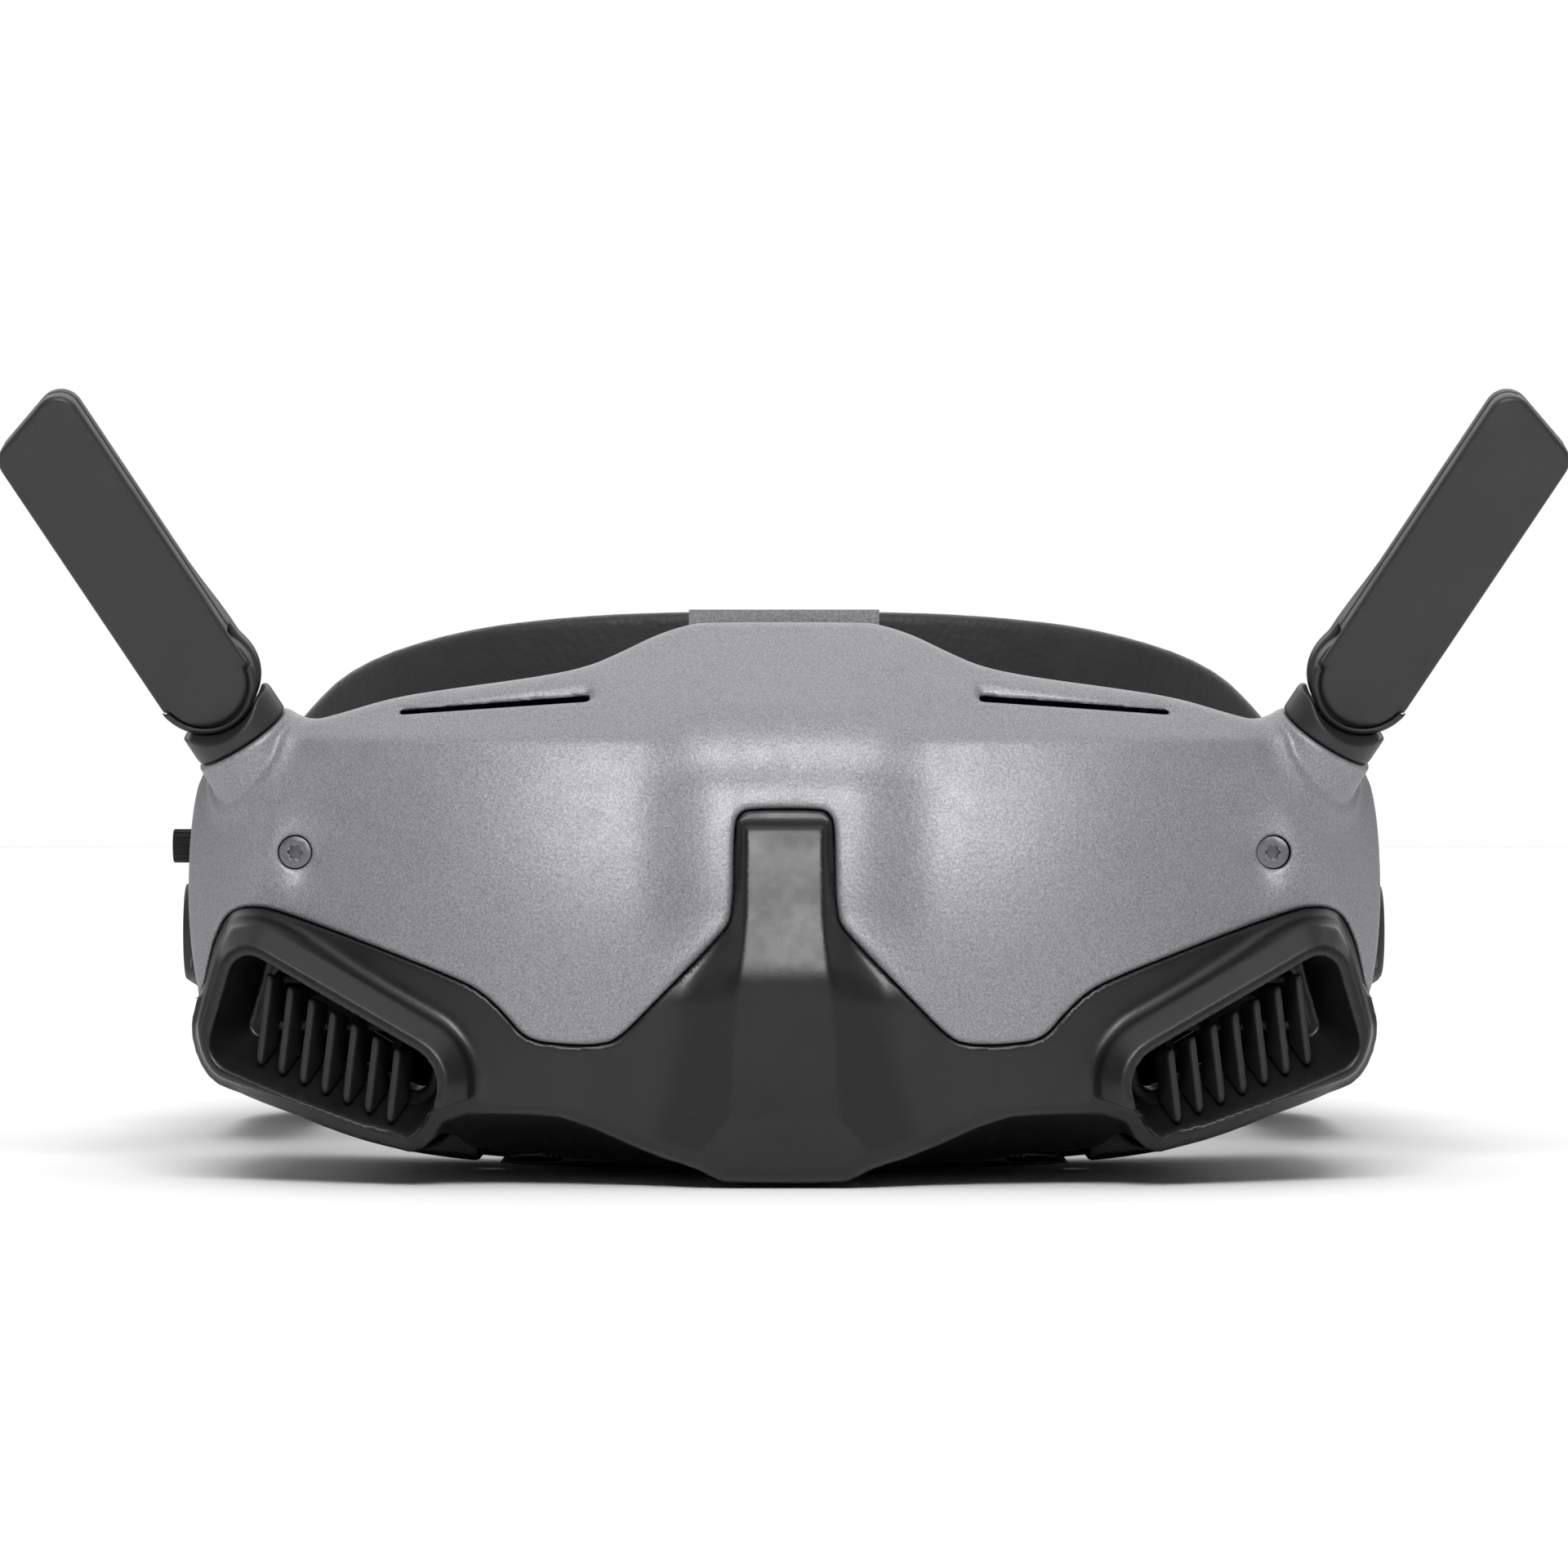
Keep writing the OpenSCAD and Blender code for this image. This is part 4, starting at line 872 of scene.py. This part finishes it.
def make_face_cushion():
    """A crowned ring of foam under leather, flat only against its carrier."""
    step = 1.0
    lo = (-81, 54, -4)
    x, y, z = axes(lo, (0, 110, 80), step)
    outer = outline_distance(cushion_line, x[:, 0], z[:, 0])[:, None, :] + 0.9
    hole = -outline_distance(eye_line, x[:, 0], z[:, 0])[:, None, :] + 0.9
    ring = blend_max(outer, hole, 3.0)
    body = blend_max(ring, face_side(x, y, 1.0), 6.5)
    body = blend_max(body, -face_side(x, y, 14.9), 1.2)
    piece = piece_from_field("face_cushion_foam", flip(body), lo, step)
    inflate(piece, 3.0, 1.2,
            lambda p: np.hypot(p[:, 0], p[:, 1] - BROW_Y - FACE_R) > FACE_R + 13.6)
    dress(piece, "goggles", LEATHER, "cushion_leather", "face_cushion")


BAND_DROP = math.radians(4.518)
BOW_Y, BAND_IN, BAND_H = 194.4, 66.6, 30.0


def drop_band(obj):
    """The headband hangs down towards the back from its pivot."""
    pivot = Matrix.Translation(Vector((0, PIVOT[0] + FRONT, PIVOT[1])) * MM)
    obj.data.transform(pivot @ Matrix.Rotation(-BAND_DROP, 4, "X") @ pivot.inverted())


def make_rear_pad():
    """The pad behind the head: a crowned strip of foam under leather."""
    step = 0.8
    lo = (-66, 188, PIVOT[1] - 16)
    x, y, z = axes(lo, (66, 264, PIVOT[1] + 16), step)
    radius = np.hypot(x, y - BOW_Y)
    turn = np.degrees(np.arctan2(y - BOW_Y, x))
    ends = np.radians(np.abs(turn - 90) - 51.5) * radius
    edge = blend_max(np.abs(z - PIVOT[1]) - BAND_H / 2 + 2.6, ends, 4)
    body = blend_max(edge, np.abs(radius - BAND_IN + 3.4) - 2.9, 2.6)
    piece = piece_from_field("rear_pad_foam", body, lo, step)
    inflate(piece, 3.0, 0.8, lambda p: np.hypot(p[:, 0], p[:, 1] - BOW_Y) > BAND_IN - 1.6)
    drop_band(piece)
    dress(piece, "rear_unit", LEATHER, "cushion_leather", "rear_pad")


# -------------------------------------------------------------------- antennas

KNUCKLE_R = 7.0
PLATE_R = 5.85                     # round end of the front plate, inside the knuckle's band
PADDLE_T = 5.2
KNUCKLE_T = 1.8                    # how much the knuckle is thicker at the back
TONGUE_R, TONGUE_T = 6.7, 2.6
PLATE_GAP = 0.22
ANT_STEP = 0.32


def antenna_place(flipped):
    place = Matrix.Translation((ANT.x, ANT.y + FRONT, ANT.z)) @ ANT_TURN.to_4x4()
    return Matrix.Scale(-1, 4, (1, 0, 0)) @ place if flipped else place


def paddle_outline(x, up):
    """Blade with a slanted, rounded tip; the outer corner is the lower one."""
    return outline_distance([(-3.6, 0), (-3.6, 37.2), (3.6, 39.5), (3.6, 0)], x, up) - 3


def make_antennas():
    lo = (-9, -9, -12)
    x, y, z = axes(lo, (9, 9, 56), ANT_STEP)
    up = z - HINGE_UP
    blade = paddle_outline(x[:, 0], up[:, 0])[:, None, :]
    knuckle = np.hypot(x, up) - KNUCKLE_R
    room = np.maximum(np.hypot(x, up) - KNUCKLE_R - 0.6, np.abs(y) - 1.5)
    pocket = np.maximum(np.maximum(np.abs(x) - 5.2, np.abs(up - 24) - 16), np.abs(y) - 1.2)
    pocket = np.maximum(pocket, blade + 1.4)
    hollow = np.minimum(room, pocket)
    # Front plate: the blade, and a round end that the knuckle's band surrounds.
    plate = blend_min(np.maximum(blade, -0.8 - up), np.hypot(x, up) - PLATE_R, 0.5)
    face = blend_max(blend_max(plate, -PADDLE_T / 2 - y, 0.9), y, 0.1)
    face = np.maximum(face, -hollow)
    # Back: the blade, thicker towards the knuckle, and the knuckle with its band.
    thick = PADDLE_T / 2 + KNUCKLE_T * ease(15, 4, up)
    rear = blend_max(blend_max(np.maximum(blade, -up), y - thick, 1.1), 0.12 - y, 0.1)
    band = blend_max(blend_max(knuckle, y - PADDLE_T / 2 - KNUCKLE_T, 1.0), -2.35 - y, 0.9)
    band = np.maximum(band, -np.maximum(plate - PLATE_GAP, y - 0.12))
    rear = np.maximum(blend_min(rear, band, 0.2), -hollow)
    rear = np.maximum(rear, -np.maximum(plate - PLATE_GAP, y - 0.12))
    # Neck: a saddle under the knuckle, the tongue between the halves, the spigot.
    radius = np.hypot(x, y)
    neck = blend_max(blend_max(radius - NECK_R, z - 4.25, 0.4), 0.3 - z, 0.4)
    neck = blend_max(neck, KNUCKLE_R + 0.14 - np.hypot(x, up), 0.3)
    tongue = np.maximum(np.hypot(x, up) - TONGUE_R, np.abs(y) - TONGUE_T / 2)
    stalk = np.maximum(np.maximum(np.abs(x) - 3.4, np.abs(y) - TONGUE_T / 2), np.abs(z - 5) - 4.4)
    spigot = np.maximum(radius - 4, np.abs(z + 4.2) - 5)
    flange = np.maximum(radius - 5.4, np.abs(z + 9.8) - 0.6)
    for part in (tongue, stalk, spigot, flange):
        neck = np.minimum(neck, part)
    forms = (("plate", "face", face), ("shell", "back", rear), ("saddle", "neck", neck))
    for side, flipped in (("left", False), ("right", True)):
        place = antenna_place(flipped)
        for form, part, field in forms:
            node = "antenna_" + part + "_" + side
            piece = piece_from_field("antenna_" + form + "_" + side, field, lo, ANT_STEP, place)
            dress(piece, body_of[node], ANTENNA, "antenna_plastic", node)


# ------------------------------------------------------------ camera and light

REACH = 965.0                      # from the camera to a plane 35 mm behind the nose ridge
VIEW_WIDTH = 205.1                 # what the picture shows across in that plane
EYE_Z = 50.8


def add_camera():
    """A long lens straight in front, one metre off, at the height of the lenses."""
    data = bpy.data.cameras.new("camera")
    data.sensor_width = 36
    data.lens = data.sensor_width * REACH / VIEW_WIDTH
    data.clip_start = 0.05
    cam = bpy.data.objects.new("camera", data)
    cam.location = (0, (FRONT + 35 - REACH) * MM, EYE_Z * MM)
    cam.rotation_euler = (math.radians(90), 0, 0)
    bpy.context.collection.objects.link(cam)
    bpy.context.scene.camera = cam


def add_light(name, where, target, size, watts, colour=(1, 1, 1)):
    data = bpy.data.lights.new(name, "AREA")
    data.shape = "RECTANGLE"
    data.size, data.size_y = size
    data.energy = watts
    data.color = colour
    lamp = bpy.data.objects.new(name, data)
    lamp.location = where
    aim = Vector(target) - Vector(where)
    lamp.rotation_euler = aim.to_track_quat("-Z", "Y").to_euler()
    bpy.context.collection.objects.link(lamp)


def add_stage():
    """A pale floor and a white backdrop."""
    bm = bmesh.new()
    bmesh.ops.create_grid(bm, x_segments=2, y_segments=2, size=5)
    mesh = bpy.data.meshes.new("floor")
    bm.to_mesh(mesh)
    bm.free()
    floor = bpy.data.objects.new("floor", mesh)
    floor.location.z = -0.0004
    n = Nodes("floor_paper")
    n.set(Base_Color=n.mix(n.between(n.noise(300, 2), 0, 1), (0.9, 0.9, 0.9),
                           (0.92, 0.92, 0.92)), Roughness=0.9, Specular_IOR_Level=0.1)
    mesh.materials.append(n.mat)
    bpy.context.collection.objects.link(floor)
    # The backdrop is white to the eye and dimmer as a light.
    world = bpy.data.worlds.new("studio")
    world.use_nodes = True
    tree = world.node_tree
    backdrop = tree.nodes["Background"]
    ray = tree.nodes.new("ShaderNodeLightPath").outputs["Is Camera Ray"]
    level = tree.nodes.new("ShaderNodeMapRange")
    level.inputs["To Min"].default_value = 0.1
    tree.links.new(ray, level.inputs["Value"])
    tree.links.new(level.outputs["Result"], backdrop.inputs["Strength"])
    backdrop.inputs["Color"].default_value = (1, 1, 1, 1)
    bpy.context.scene.world = world
    bpy.context.scene.view_settings.view_transform = "Standard"


add_camera()
add_stage()
centre = (0, (FRONT + 30) * MM, 0.04)
add_light("softbox_front", (0, -1.05, 0.85), centre, (0.72, 0.36), 13)
add_light("ceiling", (0, 0.1, 1.9), (0, 0.1, 0), (2.6, 2.6), 20)
add_light("floor_wash", (0, 3.3, 1.6), (0, 3.3, 0), (7, 4.6), 160)
for side, sign in (("left", -1), ("right", 1)):
    add_light("strip_" + side, (sign * 1.1, 0, 0.35), (sign * 0.08, FRONT * MM, 0.04), (0.25, 0.9),
              1.2, (0.93, 0.95, 1))

make_cover()
make_lower_frame()
make_grille()
make_housing()
make_cushion_frame()
make_face_cushion()
make_rear_pad()
make_antennas()
for name in ("band_outer_shell", "band_arm_left", "band_arm_right"):
    softened(name, 0.8, 3)
for name in ("back_button", "record_button", "link_button", "power_button"):
    softened(name, 0.45, 3)
for name in ("ipd_grip_left", "ipd_grip_right", "joystick_cap", "cover_screws", "lens_panel",
             "barrel_left", "barrel_right"):
    softened(name, 0.15, 2)
